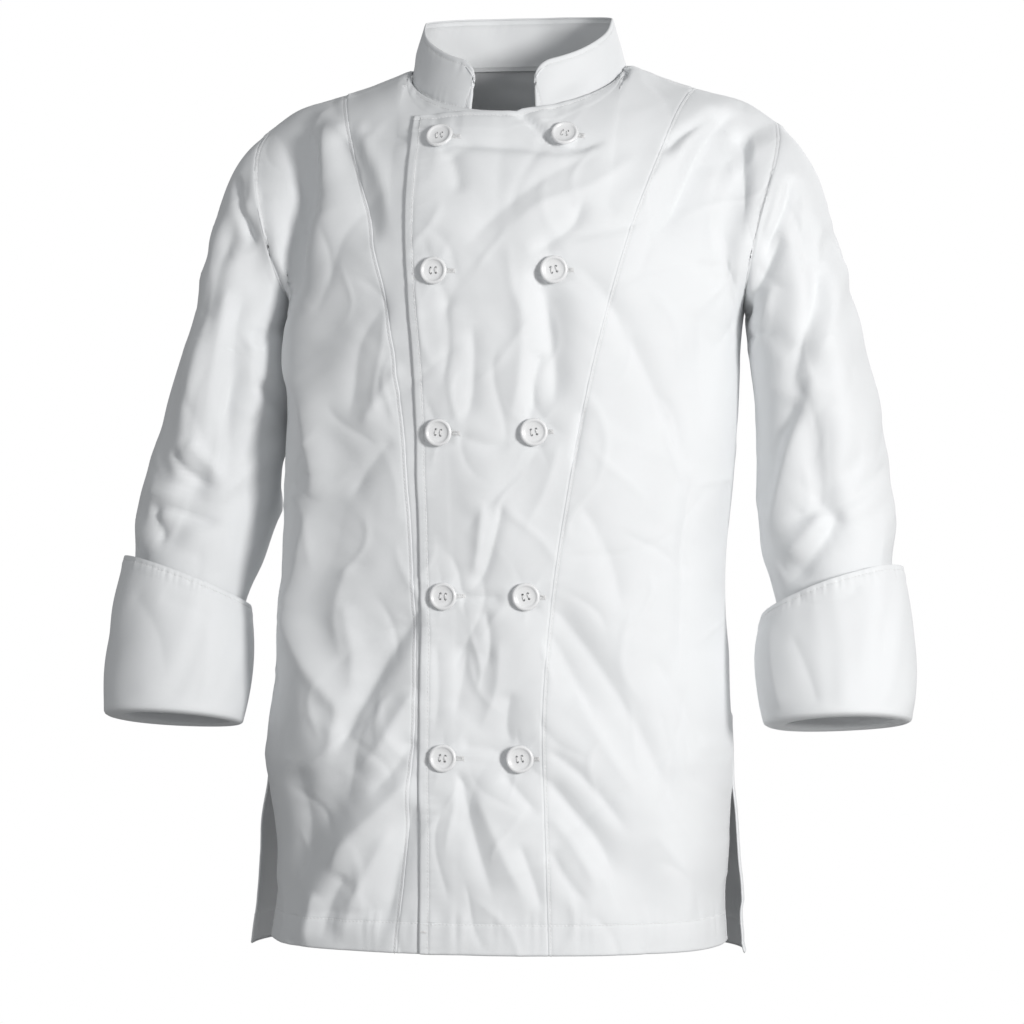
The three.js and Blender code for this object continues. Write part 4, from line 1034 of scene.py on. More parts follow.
class JACKET_OT_fronts(bpy.types.Operator):
    """Makes the four pieces of the two fronts"""

    bl_idname = "jacket.fronts"
    bl_label = "Fronts"

    def execute(self, context):
        seam_left, seam_right = front_turn(PRINCESS_SEAM, 1), front_turn(PRINCESS_SEAM, -1)
        edge, under_edge = front_turn(FRONT_EDGE, -1), front_turn(FRONT_EDGE, 1, -UNDERLAP_BACK)
        overlap = panel("overlap_front", -1, True, (edge, seam_left),
                        (EDGE, SEAM, HEM, NECK_EDGE), OVERLAP_TOP)
        underlap = panel("underlap_front", -1, False, (seam_right, under_edge),
                         (SEAM, EDGE, HEM, NECK_EDGE), UNDERLAP_TOP, step=UNDERLAP_STEP)
        left = panel("side_front_left", -1, True, (seam_left, constant_turn(1)),
                     (SEAM, EDGE, HEM, SEAM))
        right = panel("side_front_right", -1, False, (constant_turn(-1), seam_right),
                      (EDGE, SEAM, HEM, SEAM))
        for i, cloth in enumerate((overlap, underlap, left, right)):
            stepped(cloth, "low", HEM_WIDTH, HEM_HEIGHT)
            sewn(cloth, "low", HEM_WIDTH, 1.7 * i, wave=0.012, pull=0.0004)
        for cloth, side, seed in ((overlap, "left", 0.4), (underlap, "right", 2.1)):
            stepped(cloth, side, *FRONT_FACING, soft=0.003)
            sewn(cloth, side, EDGE_WIDTH, seed, pull=0.0006, wave=0.008)
            stepped(cloth, "high", *NECK_FACING, soft=0.0015)
            sewn(cloth, "high", NECK_STITCH, seed + 1, pull=0.0007, wave=0.007, reach=0.013)
        for cloth, seam, vent in ((left, "left", "right"), (right, "right", "left")):
            sewn(cloth, seam, SEAM_STITCH, 1.1, pull=0.00018, wave=0.012, reach=0.006)
            sewn(cloth, "high", ARMHOLE_STITCH, 1.9, pull=0.0004, wave=0.01, reach=0.01)
            sewn(cloth, vent, VENT_STITCH, 0.9, pull=0.0003, wave=0.014, within=VENT_SHARE)
        for cloth, seam in ((overlap, "right"), (underlap, "left")):
            sewn(cloth, seam, 0.0005, 0.7, pull=0.00016, wave=0.013, reach=0.005)
        for cloth, seam, free, radius in ((overlap, "right", "left", FOLD_ROLL),
                                          (underlap, "left", "right", EDGE_ROLL),
                                          (left, "left", "right", EDGE_ROLL),
                                          (right, "right", "left", EDGE_ROLL)):
            rolled(cloth, free, "low", "high", radius=radius)
            rolled(cloth, seam, radius=SEAM_ROLL)
            finish_cloth(cloth)
        return {"FINISHED"}


class JACKET_OT_back(bpy.types.Operator):
    """Makes the back"""

    bl_idname = "jacket.back"
    bl_label = "Back"

    def execute(self, context):
        cloth = panel("back", 1, False, (constant_turn(-1), constant_turn(1)),
                      (EDGE, EDGE, HEM, SEAM), step=BACK_STEP)
        stepped(cloth, "low", HEM_WIDTH, HEM_HEIGHT)
        sewn(cloth, "low", HEM_WIDTH, 2.9, wave=0.013, pull=0.00026)
        for side in ("left", "right"):
            sewn(cloth, side, VENT_STITCH, 0.5, pull=0.0003, wave=0.014, within=VENT_SHARE)
        rolled(cloth, "left", "right", "low", "high")
        finish_cloth(cloth)
        return {"FINISHED"}


def sleeve_row(z, side):
    row = {c: along(SLEEVE, "z", z, c) for c in ("out", "y", "half", "deep", "slant", "tip")}
    row["out"] = row["out"] + along(SLEEVE_SHIFT, "z", z, "left" if side > 0 else "right")
    row["z"] = z
    return row


def sleeve_ring(row, angle, side):
    slant, tip = np.radians(row["slant"]), np.radians(row["tip"])
    outward = stack(side * np.cos(slant), 0.0, np.sin(slant))
    forward = stack(0.0, -np.cos(tip), np.sin(tip))
    centre = stack(side * row["out"], row["y"], row["z"])
    a = (row["half"] * np.cos(angle))[..., None]
    b = (row["deep"] * np.sin(angle))[..., None]
    return centre + outward * a + forward * b


EDGE_STEP = 0.01


def armhole_frame(share, side, face):
    """The armhole's points with their outward direction and the way into the sleeve."""
    point, _ = top_edge(side * share, face)
    normal = body_normal(side * share, np.full(share.shape, 2.0), face)
    other = body_normal(side * share, np.full(share.shape, 2.0), -face)
    tip = np.exp(-((share - TIP_TURN) / 0.02) ** 2)[..., None] * 0.5
    normal = unit(mix(normal, other, tip))
    ahead, _ = top_edge(side * np.minimum(share + EDGE_STEP, 1), face)
    behind, _ = top_edge(side * np.maximum(share - EDGE_STEP, TIP_TURN), face)
    away = unit(np.cross(unit(ahead - behind), normal))
    away = np.where(away[..., :1] * side > 0, -away, away)
    end = (share > 0.995)[..., None]
    away = np.where(end, np.array([0.0, 0.0, -1.0]), away)
    low = smooth((share - TIP_TURN) / (1 - TIP_TURN), 0.45, 0.85)[..., None]
    point = point + low * np.array([side * (WALL + 0.0003), 0.0, 0.0])
    under = np.array([side * 0.35, 0.0, -0.94])
    out = unit(mix(-away, under, low))
    return point, normal, out


# The sleeve's first row is turned in behind the body's edge.
TUCK_LENGTH = 0.0008
TUCK_DEPTH = 0.0035
ARM_RADIUS = 0.055
SLEEVE_WAVE = 0.06
SLEEVE_AROUND = 132
CAP_ROWS = 49
SLEEVE_STEP = 0.004


def sleeve_cloth(side):
    """The sleeve: its cap runs from the armhole to the first oval, then down the ovals."""
    name = "sleeve_left" if side > 0 else "sleeve_right"
    first, last = SLEEVE["z"][0], SLEEVE["z"][-1]
    around = SLEEVE_AROUND
    turn = np.arange(around) / around
    angle = turn * 2 * math.pi
    share = np.where(turn <= 0.5, mix(TIP_TURN, 1, turn * 2), mix(TIP_TURN, 1, 2 - turn * 2))
    front = armhole_frame(share, side, -1)
    back = armhole_frame(share, side, 1)
    ahead = (turn <= 0.5)[:, None]
    start, outward, out = (np.where(ahead, f, b) for f, b in zip(front, back))
    to = sleeve_ring(sleeve_row(np.full(around, first), side), angle, side)
    up = unit(to - sleeve_ring(sleeve_row(np.full(around, first - 0.012), side), angle, side))
    reach = np.linalg.norm(to - start, axis=-1, keepdims=True) * 0.36
    rise = np.concatenate([[-0.02], np.linspace(0, 1, CAP_ROWS + 1)[:-1], 1 + spread(0.3, SLEEVE_STEP)])
    cap = bezier(start[:, None], (start + out * reach * 0.6)[:, None],
                 (to + up * reach)[:, None], to[:, None],
                 np.broadcast_to(np.clip(rise, 0, 1), (around, len(rise))))
    cap[:, 0] = start - out * TUCK_LENGTH - outward * TUCK_DEPTH
    z = mix(first, last, np.clip(rise - 1, 0, 1))
    rows = sleeve_row(np.broadcast_to(z, (around, len(rise))), side)
    tube = sleeve_ring(rows, np.broadcast_to(angle[:, None], (around, len(rise))), side)
    points = np.where((rise >= 1)[None, :, None], tube, cap)
    centre_x = np.where(rise > 1, sleeve_row(z, side)["out"], mix(0.205, 0.250, np.minimum(rise, 1)))
    away = points - stack(side * centre_x, 0.0, 0.0)[None]
    away[..., 2] = 0
    degrees = np.broadcast_to((turn * 360)[:, None], points.shape[:2])
    lift = folds_at(SLEEVE_FOLDS, degrees, points[..., 2] * 1000) / 1000
    lift *= (smooth(rise, 0.1, 0.5) * (1 - smooth(rise, 1.55, 1.75)))[None]
    away = unit(away)
    own, other = (LEFT_SLEEVE_CREASES, RIGHT_SLEEVE_CREASES)[::side]
    level, forward = points[..., 2], -away[..., 1]
    fine = 2.0 * creases_at(own, points[..., 0], level) * smooth(forward, 0, 0.4)
    fine += 1.5 * creases_at(other, -points[..., 0], level) * smooth(-forward, 0, 0.4)
    fine = limited(fine)
    ring_x, ring_y = (f(np.radians(degrees)) * ARM_RADIUS for f in (np.cos, np.sin))
    fine += 0.0007 * crumple(ring_x + level, ring_y + level, 7 if side > 0 else 11, SLEEVE_WAVE)
    fine += 0.0008 * pressed(ring_x * 1.4, level + ring_y * 0.8, 17 + side, SLEEVE_WAVE)
    fine *= (smooth(rise, 0.02, 0.2) * (1 - smooth(rise, 1.6, 1.8)))[None]
    points = points + away * (lift + fine)[..., None]
    middle = stack(side * mix(0.215, 0.255, np.minimum(rise, 1)), 0.0, points[0, :, 2])
    return Cloth(name, points, middle[None], closed=True)


class JACKET_OT_sleeves(bpy.types.Operator):
    """Makes the two sleeves"""

    bl_idname = "jacket.sleeves"
    bl_label = "Sleeves"

    def execute(self, context):
        for side in (1, -1):
            cloth = sleeve_cloth(side)
            rolled(cloth, "low")
            finish_cloth(cloth)
        return {"FINISHED"}


CUFF_STITCH = 0.0042
# Distances from the cuff's upper edge at which its cloth bends.
CUFF_HEM = (0.0003, 0.0008, 0.0016, 0.003, 0.0037, 0.0042, 0.0047, 0.006, 0.0085, 0.0105, 0.0125)
LEFT_CUFF_CREASES = (
    (-1.6, 5, 6, (298, -440), (284, -451), (259, -456), (238, -454)),
    (-1.6, 7, 7, (238, -480), (249, -503), (259, -528), (265, -554)),
    (1.5, 5, 7, (220, -469), (223, -503), (230, -536), (238, -557)),
    (-0.9, 9, 9, (312, -462), (318, -500), (316, -540)),
)
RIGHT_CUFF_CREASES = (
    (-1.1, 9, 9, (-326, -450), (-312, -464), (-297, -490), (-290, -530)),
    (1.2, 9, 9, (-262, -470), (-258, -505), (-262, -548)),
    (-0.9, 7, 7, (-300, -452), (-276, -462), (-254, -470)),
)


CUFF_AROUND = 240
FOLD_SHARE = 0.03


def cuff_cloth(side):
    """The turned-back cuff: inner leg, fold and outer leg as one band round the wrist."""
    name = "cuff_left" if side > 0 else "cuff_right"
    cuff = CUFFS["left" if side > 0 else "right"]
    sleeve_end = sleeve_row(np.array(SLEEVE["z"][-1]), side)
    height = cuff["top"] - cuff["fold"]
    leg = (float(sleeve_end["z"]) - 0.0006 - cuff["fold"]) / height
    inner = np.linspace(leg, FOLD_SHARE, 6)
    hem = 1 - np.array(CUFF_HEM[::-1]) / height
    outer = np.concatenate([np.linspace(FOLD_SHARE, 1 - 0.0145 / height, 34), hem, [1.0]])
    fold = np.linspace(0, math.pi, 9)[1:-1]
    angle = np.arange(CUFF_AROUND) / CUFF_AROUND * 2 * math.pi

    def outer_shape(q):
        t = np.clip(q, 0, 1)
        shape = {key: mix(cuff[key][1], cuff[key][0], t) for key in ("out", "y", "half", "deep")}
        shape["half"] += CUFF_BULGE * 4 * t * (1 - t)
        return {**shape, "z": mix(cuff["fold"], cuff["top"], q),
                "slant": mix(CUFF_FOLD_SLANT, CUFF_TOP_SLANT, t * t), "tip": mix(*CUFF_TIP, t)}

    def inner_shape(q):
        return {key: float(sleeve_end[key]) if key != "z" else value
                for key, value in outer_shape(q).items()}

    def ring(shape):
        shape = {k: np.full(CUFF_AROUND, float(v)) for k, v in shape.items()}
        return sleeve_ring(shape, angle, side)

    inside, outside = ring(inner_shape(FOLD_SHARE)), ring(outer_shape(FOLD_SHARE))
    centre, reach = (inside + outside) / 2, (outside - inside) / 2
    drop = np.array([0, 0, -1]) * np.linalg.norm(reach, axis=-1, keepdims=True) * 0.4
    points = np.stack([*(ring(inner_shape(q)) for q in inner),
                       *(centre - reach * math.cos(f) + drop * math.sin(f) for f in fold),
                       *(ring(outer_shape(q)) for q in outer)], axis=1)
    shown = np.zeros(points.shape[:2])
    shown[:, len(inner) + len(fold):] = smooth(outer, FOLD_SHARE, 0.15)
    away = points - points.mean(axis=0, keepdims=True)
    front = smooth(-unit(away)[..., 1], 0, 0.3)
    own = LEFT_CUFF_CREASES if side > 0 else RIGHT_CUFF_CREASES
    lift = creases_at(own, points[..., 0], points[..., 2]) * front
    ring_x, ring_y = 0.18 * np.cos(angle)[:, None], 0.1 * np.sin(angle)[:, None]
    lift += 0.0005 * crumple(ring_x, points[..., 2] + ring_y, 21 + side, 0.07)
    points = points + unit(away) * (lift * shown)[..., None]
    cloth = Cloth(name, points, points.mean(axis=0, keepdims=True), closed=True)
    last = slice(-6, None)
    outward = np.sum(cloth.normals[:, last] * away[:, last], axis=-1)
    if outward.mean() < 0:
        cloth.turned = True
        cloth.measure()
    return cloth


class JACKET_OT_cuffs(bpy.types.Operator):
    """Makes the two turned-back cuffs"""

    bl_idname = "jacket.cuffs"
    bl_label = "Cuffs"

    def execute(self, context):
        for side in (1, -1):
            cloth = cuff_cloth(side)
            stepped(cloth, "high", 0.0105, 0.0003)
            sewn(cloth, "high", CUFF_STITCH, 1.3 + side, pull=0.0007, wave=0.006, reach=0.006)
            finish_cloth(cloth)
        return {"FINISHED"}


COLLAR_STITCH = 0.0042
COLLAR_HEM = (0.0004, 0.001, 0.002, 0.0033, 0.0038, 0.0042, 0.0046, 0.0055, 0.008)
COLLAR_COLUMNS = 241
COLLAR_ROWS = 22


def collar_cloth():
    """The stand collar: a leaning band round the inside of the neckline, open at the front."""
    share = np.linspace(-1, 1, COLLAR_COLUMNS)
    ends = np.linspace(0.96, 1, 14)
    share = np.unique(np.concatenate([share[np.abs(share) < 0.957], ends, -ends]))
    end = np.where(share > 0, COLLAR_ENDS["left"], COLLAR_ENDS["right"])
    sweep = math.pi - np.arcsin(end / NECK_HALF)
    round_ = np.sign(share) * (1 - (1 - np.abs(share)) ** 1.25) * sweep
    front = np.abs(round_) > HALF_PI
    angle = np.where(front, np.sign(round_) * (math.pi - np.abs(round_)), round_)
    base = np.where(front[:, None], neck_point(angle, -1), neck_point(angle, 1))
    flat = np.where(front, NECK_FRONT, NECK_BACK)
    out = unit(stack(base[:, 0] / NECK_HALF ** 2, base[:, 1] / flat ** 2, 0.0))
    to_end = (sweep - np.abs(round_)) * NECK_FRONT
    bite = np.maximum(COLLAR_CORNER - to_end, 0)
    drop = COLLAR_CORNER - np.sqrt(COLLAR_CORNER ** 2 - bite ** 2)
    height = COLLAR_HEIGHT + COLLAR_SINK - drop
    up = places(height, COLLAR_HEIGHT / COLLAR_ROWS, COLLAR_HEM, COLLAR_HEM)
    around = np.cumsum(np.linalg.norm(np.diff(base, axis=0, prepend=base[:1]), axis=-1))
    wobble = 0.0007 * crumple(around[:, None], up, 31, 0.05) * smooth(up, 0.004, 0.02)
    inset = COLLAR_INSET + up * math.sin(COLLAR_LEAN)
    points = (base[:, None] + out[:, None] * wobble[..., None] - out[:, None] * inset[..., None]
              + np.array([0, 0, 1.0]) * (up * math.cos(COLLAR_LEAN) - COLLAR_SINK)[..., None])
    return Cloth("collar", points, np.array([0.0, 0.0, 0.0]))


class JACKET_OT_collar(bpy.types.Operator):
    """Makes the stand collar"""

    bl_idname = "jacket.collar"
    bl_label = "Collar"

    def execute(self, context):
        cloth = collar_cloth()
        for edge, seed in (("high", 0.3), ("left", 1.2), ("right", 2.2), ("low", 2.6)):
            sewn(cloth, edge, COLLAR_STITCH, seed, pull=0.00022, wave=0.010, reach=0.008)
        rolled(cloth, "left", "right", "high")
        finish_cloth(cloth)
        return {"FINISHED"}


# Rows of buttons: height, and the two columns' distances from the leaning centre line.
BUTTON_ROWS = table(
    "z right left",
    (-0.067, -0.053, 0.0525),
    (-0.181, -0.051, 0.049),
    (-0.315, -0.042, 0.0375),
    (-0.451, -0.032, 0.037),
    (-0.585, -0.028, 0.036),
)


def button_places():
    """Each button's name with its place across and up the front."""
    places = []
    for i, (z, right, left) in enumerate(zip(*(BUTTON_ROWS[c] for c in ("z", "right", "left")))):
        lean = float(along(BODY, "z", min(z, UNDERARM_Z), "middle") * (1 - smooth(z, UNDERARM_Z, -0.04)))
        places.append((f"button_right_{i + 1}", lean + right, z))
        places.append((f"button_left_{i + 1}", lean + left, z))
    return places


DENT_DEPTH = 0.0012
DENT_WIDTH = 0.015
RAYS = 7
RAY_WIDTH = 0.0032
RAY_HEIGHTS = (-0.0012, 0.0009)


def button_pull(point):
    """The dent under each button and the short sharp creases that run out from it."""
    random = np.random.default_rng(53)
    lift = np.zeros(point.shape[:-1])
    for _, x, z in button_places():
        dx, dz = point[..., 0] - x, point[..., 2] - z
        gap = np.hypot(dx, dz)
        lift -= DENT_DEPTH * np.exp(-(gap / DENT_WIDTH) ** 2)
        for i in range(RAYS):
            way = 2 * math.pi * (i + random.uniform(-0.3, 0.3)) / RAYS
            reach = random.uniform(0.024, 0.05)
            height = random.uniform(0.5, 1.15) * RAY_HEIGHTS[i % 2]
            ahead = dx * math.cos(way) + dz * math.sin(way)
            across = np.abs(dz * math.cos(way) - dx * math.sin(way) + 0.04 * ahead)
            lift += (height * np.exp(-across / RAY_WIDTH) * smooth(ahead, 0.004, 0.013)
                     * (1 - smooth(ahead, 0.4 * reach, reach)))
    return lift


# Radius and height of the button's outline, from the shank up over the rim to the dish, in
# millimetres, then the holes' distance from the middle lines and their radius, in metres.
BUTTON_PROFILE = (
    (0.0, 0.0), (2.6, 0.0), (2.9, 1.2), (9.6, 1.3), (10.8, 1.7), (11.5, 2.5), (11.6, 3.2),
    (11.2, 4.0), (10.5, 4.5), (9.7, 4.6), (9.0, 4.3), (8.5, 3.8), (8.1, 3.5), (7.6, 3.45),
    (7.3, 3.3), (5.0, 3.2), (0.0, 3.15),
)
HOLE_OUT = 0.0022
HOLE_RADIUS = 0.00105
CORNERS = ((1, 1), (1, -1), (-1, 1), (-1, -1))


def button_mesh():
    """A polished four-hole button, its back at the origin and its face along +Z."""
    bm = bmesh.new()
    outline = [bm.verts.new((r / 1000, 0, h / 1000)) for r, h in BUTTON_PROFILE]
    edges = [bm.edges.new(pair) for pair in zip(outline, outline[1:])]
    bmesh.ops.spin(bm, geom=outline + edges, axis=(0, 0, 1), cent=(0, 0, 0),
                   angle=2 * math.pi, steps=64)
    bmesh.ops.remove_doubles(bm, verts=bm.verts, dist=1e-6)
    bmesh.ops.recalc_face_normals(bm, faces=bm.faces)
    body = placed("button_body", as_mesh(bm, "button"))
    bm = bmesh.new()
    for sx, sy in CORNERS:
        place = Matrix.Translation((sx * HOLE_OUT, sy * HOLE_OUT, 0.002))
        bmesh.ops.create_cone(bm, cap_ends=True, segments=18, radius1=HOLE_RADIUS,
                              radius2=HOLE_RADIUS, depth=0.01, matrix=place)
    drill = placed("drill", as_mesh(bm, "drill"))
    cut = body.modifiers.new("holes", "BOOLEAN")
    cut.operation = "DIFFERENCE"
    cut.object = drill
    cut.solver = "EXACT"
    applied(body)
    bpy.data.objects.remove(drill)
    mesh = body.data
    bpy.data.objects.remove(body)
    flat = [abs(p.normal.z) > 0.999 and p.area > 1e-7 for p in mesh.polygons]
    mesh.polygons.foreach_set("use_smooth", [not f for f in flat])
    mesh.set_sharp_from_angle(angle=math.radians(38))
    return mesh


def tube(bm, path, radius, sides=7):
    """Adds a closed tube along a path."""
    path = np.array(path)
    way = unit(np.gradient(path, axis=0))
    rings = []
    for p, w in zip(path, way):
        u = np.cross(w, (0.3, 0.9, 0.31))
        u = u / np.linalg.norm(u)
        v = np.cross(w, u)
        rings.append([bm.verts.new(p + radius * (math.cos(a) * u + math.sin(a) * v))
                      for a in np.linspace(0, 2 * math.pi, sides + 1)[:-1]])
    for a, b in zip(rings, rings[1:]):
        for i in range(sides):
            j = (i + 1) % sides
            bm.faces.new((a[i], a[j], b[j], b[i]))
    bm.faces.new(rings[0][::-1])
    bm.faces.new(rings[-1])


STRAND_RADIUS = 0.00026


def button_thread_mesh(seed):
    """Sewing thread that runs over the dish from hole to hole, in two parallel bundles."""
    random = np.random.default_rng(seed)
    bm = bmesh.new()
    t = np.linspace(0, 1, 9)
    height = 0.0031 + 0.0008 * np.sin(np.pi * t) ** 0.6 - 0.0009 * (np.abs(2 * t - 1) ** 8)
    for first, second in (CORNERS[:2], CORNERS[2:]):
        for strand in (-0.33, 0.0, 0.33):
            side = np.array([first[1], -first[0]]) * strand * 0.001
            wobble = random.uniform(-0.00008, 0.00008, 2)
            xy = (np.outer(1 - t, first) + np.outer(t, second)) * HOLE_OUT * 0.98 + side + wobble
            tube(bm, np.column_stack([xy, height]), STRAND_RADIUS)
    bmesh.ops.recalc_face_normals(bm, faces=bm.faces)
    return smoothed(as_mesh(bm, "button_thread"))


def button_pose(name, twist):
    """The place and facing of a button's solid, turned about its own axis."""
    verts = bpy.data.objects[name].data.vertices
    points = np.empty(len(verts) * 3)
    verts.foreach_get("co", points)
    points = np.unique(points.reshape(-1, 3).round(7), axis=0)
    middle = points.mean(axis=0)
    _, _, rows = np.linalg.svd(points - middle)
    axis = rows[2] if rows[2][1] < 0 else -rows[2]
    base = middle + axis * ((points - middle) @ axis).min()
    side = np.cross((0, 0, 1), axis)
    side /= np.linalg.norm(side)
    up = np.cross(axis, side)
    pose = Matrix([(*row, p) for row, p in zip(np.column_stack([side, up, axis]), base)]
                  + [(0, 0, 0, 1)])
    return pose @ Matrix.Rotation(twist, 4, "Z")


def keep_thread(name, mesh):
    """Makes an object of sewing thread that belongs to the jacket."""
    obj = placed(name, mesh, thread_material())
    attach(obj, "root")


# Turn of each button about its own axis, in degrees.
TWISTS = (6, -11, 3, 13, -8, 10, -4, 14, -7, 9)


class JACKET_OT_buttons(bpy.types.Operator):
    """Makes the ten buttons and the thread that holds them"""

    bl_idname = "jacket.buttons"
    bl_label = "Buttons"

    def execute(self, context):
        master = button_mesh()
        plastic = button_finish(tuple(settings().button_colour))
        strands = bmesh.new()
        for i, (name, _, _) in enumerate(button_places()):
            pose = button_pose(name, math.radians(TWISTS[i]))
            mesh = master.copy()
            mesh.transform(pose)
            button = placed(name + "_polished", mesh, plastic)
            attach(button, "root")
            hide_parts(name)
            thread = button_thread_mesh(i)
            thread.transform(pose)
            strands.from_mesh(thread)
            bpy.data.meshes.remove(thread)
        keep_thread("button_threads", as_mesh(strands, "button_threads"))
        bpy.data.meshes.remove(master)
        return {"FINISHED"}


# Buttonholes: where they start and end from the button's middle, and their strands' spacing,
# length and radius. TACK is where the bar tack of the overlap's edge starts.
HOLE_START = -0.009
HOLE_END = 0.0158
SLIT = 0.00022
BAR_STEP = 0.00078
BAR_LENGTH = 0.0017
BAR_RADIUS = 0.0003
TACK = (-0.0635, -0.729)
TACK_RADIUS = 0.00028


def on_cloth(cloth, x, z):
    """The cloth's outer face and direction at a place across and up the front."""
    p, n = cloth.points.reshape(-1, 3), cloth.normals.reshape(-1, 3)
    gap = (p[:, 0] - x) ** 2 + (p[:, 2] - z) ** 2
    near = np.argpartition(gap, 8)[:8]
    weight = 1 / (gap[near] + 1e-8)
    normal = unit(weight @ n[near])
    point = np.array([x, weight @ p[near, 1] / weight.sum(), z])
    return point + normal * WALL / 2, normal


def bar(bm, cloth, start, end, radius=BAR_RADIUS):
    """One strand of thread laid on the cloth from place to place."""
    path = []
    for t, lift in ((0, -0.4), (0.2, 0.7), (0.5, 1.0), (0.8, 0.7), (1, -0.4)):
        point, normal = on_cloth(cloth, mix(start[0], end[0], t), mix(start[1], end[1], t))
        path.append(point + normal * 0.0002 * lift)
    tube(bm, path, radius, sides=6)


class JACKET_OT_buttonholes(bpy.types.Operator):
    """Works the buttonholes of the overlap and the bar tack at its hem"""

    bl_idname = "jacket.buttonholes"
    bl_label = "Buttonholes"

    def execute(self, context):
        cloth = MADE["overlap_front"]
        random = np.random.default_rng(41)
        bm = bmesh.new()
        for i, (_, x, z) in enumerate(button_places()):
            tilt = random.uniform(-0.03, 0.03)
            stop = HOLE_END - 0.0016 * (i % 2)
            for across in np.arange(HOLE_START, stop, BAR_STEP):
                for side in (-1, 1):
                    inner, outer = SLIT * side, (SLIT + BAR_LENGTH) * side
                    place = x + across + random.uniform(-0.0001, 0.0001)
                    middle = z + across * tilt
                    bar(bm, cloth, (place, middle + inner), (place, middle + outer))
            for end, sign in ((HOLE_START, -1), (stop, 1)):
                for step in range(4):
                    place = x + end + sign * step * 0.0005
                    middle = z + end * tilt
                    bar(bm, cloth, (place, middle - 0.0018), (place, middle + 0.0018))
            start = np.array([x + stop + 0.001, z + stop * tilt - 0.0008])
            way, length = random.uniform(-1.6, -0.9), random.uniform(0.002, 0.0034)
            path = []
            for t in np.linspace(0, 1, 7):
                curl = way + 0.5 * t
                ahead = start + t * length * np.array([math.cos(curl), math.sin(curl)])
                point, normal = on_cloth(cloth, *ahead)
                path.append(point + normal * 0.00012)
            tube(bm, path, 0.00014, sides=5)
        for i in range(9):
            x, z = TACK[0] + 0.0005 * i, TACK[1]
            bar(bm, cloth, (x, z - 0.0009), (x, z + 0.0009), radius=TACK_RADIUS)
        bmesh.ops.recalc_face_normals(bm, faces=bm.faces)
        keep_thread("buttonhole_threads", smoothed(as_mesh(bm, "buttonhole_threads")))
        return {"FINISHED"}


# Lines of stitches: the piece, the edge that the line follows, its distance from that edge,
# and the shares of the edge between which it runs.
STITCH_LINES = (
    ("overlap_front", "left", EDGE_WIDTH, 0.01, 0.99),
    ("overlap_front", "high", NECK_STITCH, 0.03, 0.985),
    ("underlap_front", "right", EDGE_WIDTH, 0.01, 0.99),
    ("underlap_front", "high", NECK_STITCH, 0.0, 0.985),
    ("side_front_left", "left", SEAM_STITCH, 0.0, 1.0),
    ("side_front_left", "high", ARMHOLE_STITCH, 0.34, 1.0),
    ("side_front_right", "right", SEAM_STITCH, 0.0, 1.0),
    ("side_front_right", "high", ARMHOLE_STITCH, 0.0, 0.66),
    *((name, edge, VENT_STITCH, 0.035, 0.2) for name, edge in
      (("side_front_left", "right"), ("side_front_right", "left"), ("back", "left"), ("back", "right"))),
    *(("collar", edge, COLLAR_STITCH, 0.02, 0.98) for edge in ("high", "low")),
    *(("collar", edge, COLLAR_STITCH, 0.05, 0.9) for edge in ("left", "right")),
    *((name, "high", CUFF_STITCH, 0.0, 1.0) for name in ("cuff_left", "cuff_right")),
    *((name, "low", HEM_WIDTH, 0.0, 1.0) for name in
      ("overlap_front", "underlap_front", "side_front_left", "side_front_right", "back")),
)


STITCH_LIFT = 0.00003


def stitch_tree():
    """Stitches along a path: one short strand of thread each pitch."""
    tree = bpy.data.node_groups.new("stitches", "GeometryNodeTree")
    face = tree.interface
    face.new_socket("Geometry", in_out="INPUT", socket_type="NodeSocketGeometry")
    for name, value in (("Pitch", 0.0028), ("Thickness", 0.00024), ("Share", 0.78)):
        socket = face.new_socket(name, in_out="INPUT", socket_type="NodeSocketFloat")
        socket.default_value = value
    face.new_socket("Thread", in_out="INPUT", socket_type="NodeSocketMaterial")
    face.new_socket("Geometry", in_out="OUTPUT", socket_type="NodeSocketGeometry")
    new = tree.nodes.new
    start, end = new("NodeGroupInput"), new("NodeGroupOutput")
    curve = new("GeometryNodeMeshToCurve")
    points = new("GeometryNodeCurveToPoints")
    points.mode = "LENGTH"
    strand = new("GeometryNodeMeshUVSphere")
    for name, value in (("Segments", 6), ("Rings", 4), ("Radius", 1.0)):
        strand.inputs[name].default_value = value
    length, half = new("ShaderNodeMath"), new("ShaderNodeMath")
    length.operation = half.operation = "MULTIPLY"
    half.inputs[1].default_value = 0.5
    size = new("ShaderNodeCombineXYZ")
    stretch = new("GeometryNodeTransform")
    place = new("GeometryNodeInstanceOnPoints")
    real = new("GeometryNodeRealizeInstances")
    finish = new("GeometryNodeSetMaterial")
    for source, output, target, socket in (
            (start, "Geometry", curve, "Mesh"), (curve, "Curve", points, "Curve"),
            (start, "Pitch", points, "Length"), (start, "Pitch", length, 0), (start, "Share", length, 1),
            (length, 0, half, 0), (half, 0, size, "Z"), (start, "Thickness", size, "X"),
            (start, "Thickness", size, "Y"), (strand, "Mesh", stretch, "Geometry"),
            (size, 0, stretch, "Scale"), (points, "Points", place, "Points"),
            (points, "Rotation", place, "Rotation"), (stretch, "Geometry", place, "Instance"),
            (place, "Instances", real, "Geometry"), (real, "Geometry", finish, "Geometry"),
            (start, "Thread", finish, "Material"), (finish, "Geometry", end, "Geometry")):
        tree.links.new(source.outputs[output], target.inputs[socket])
    return tree


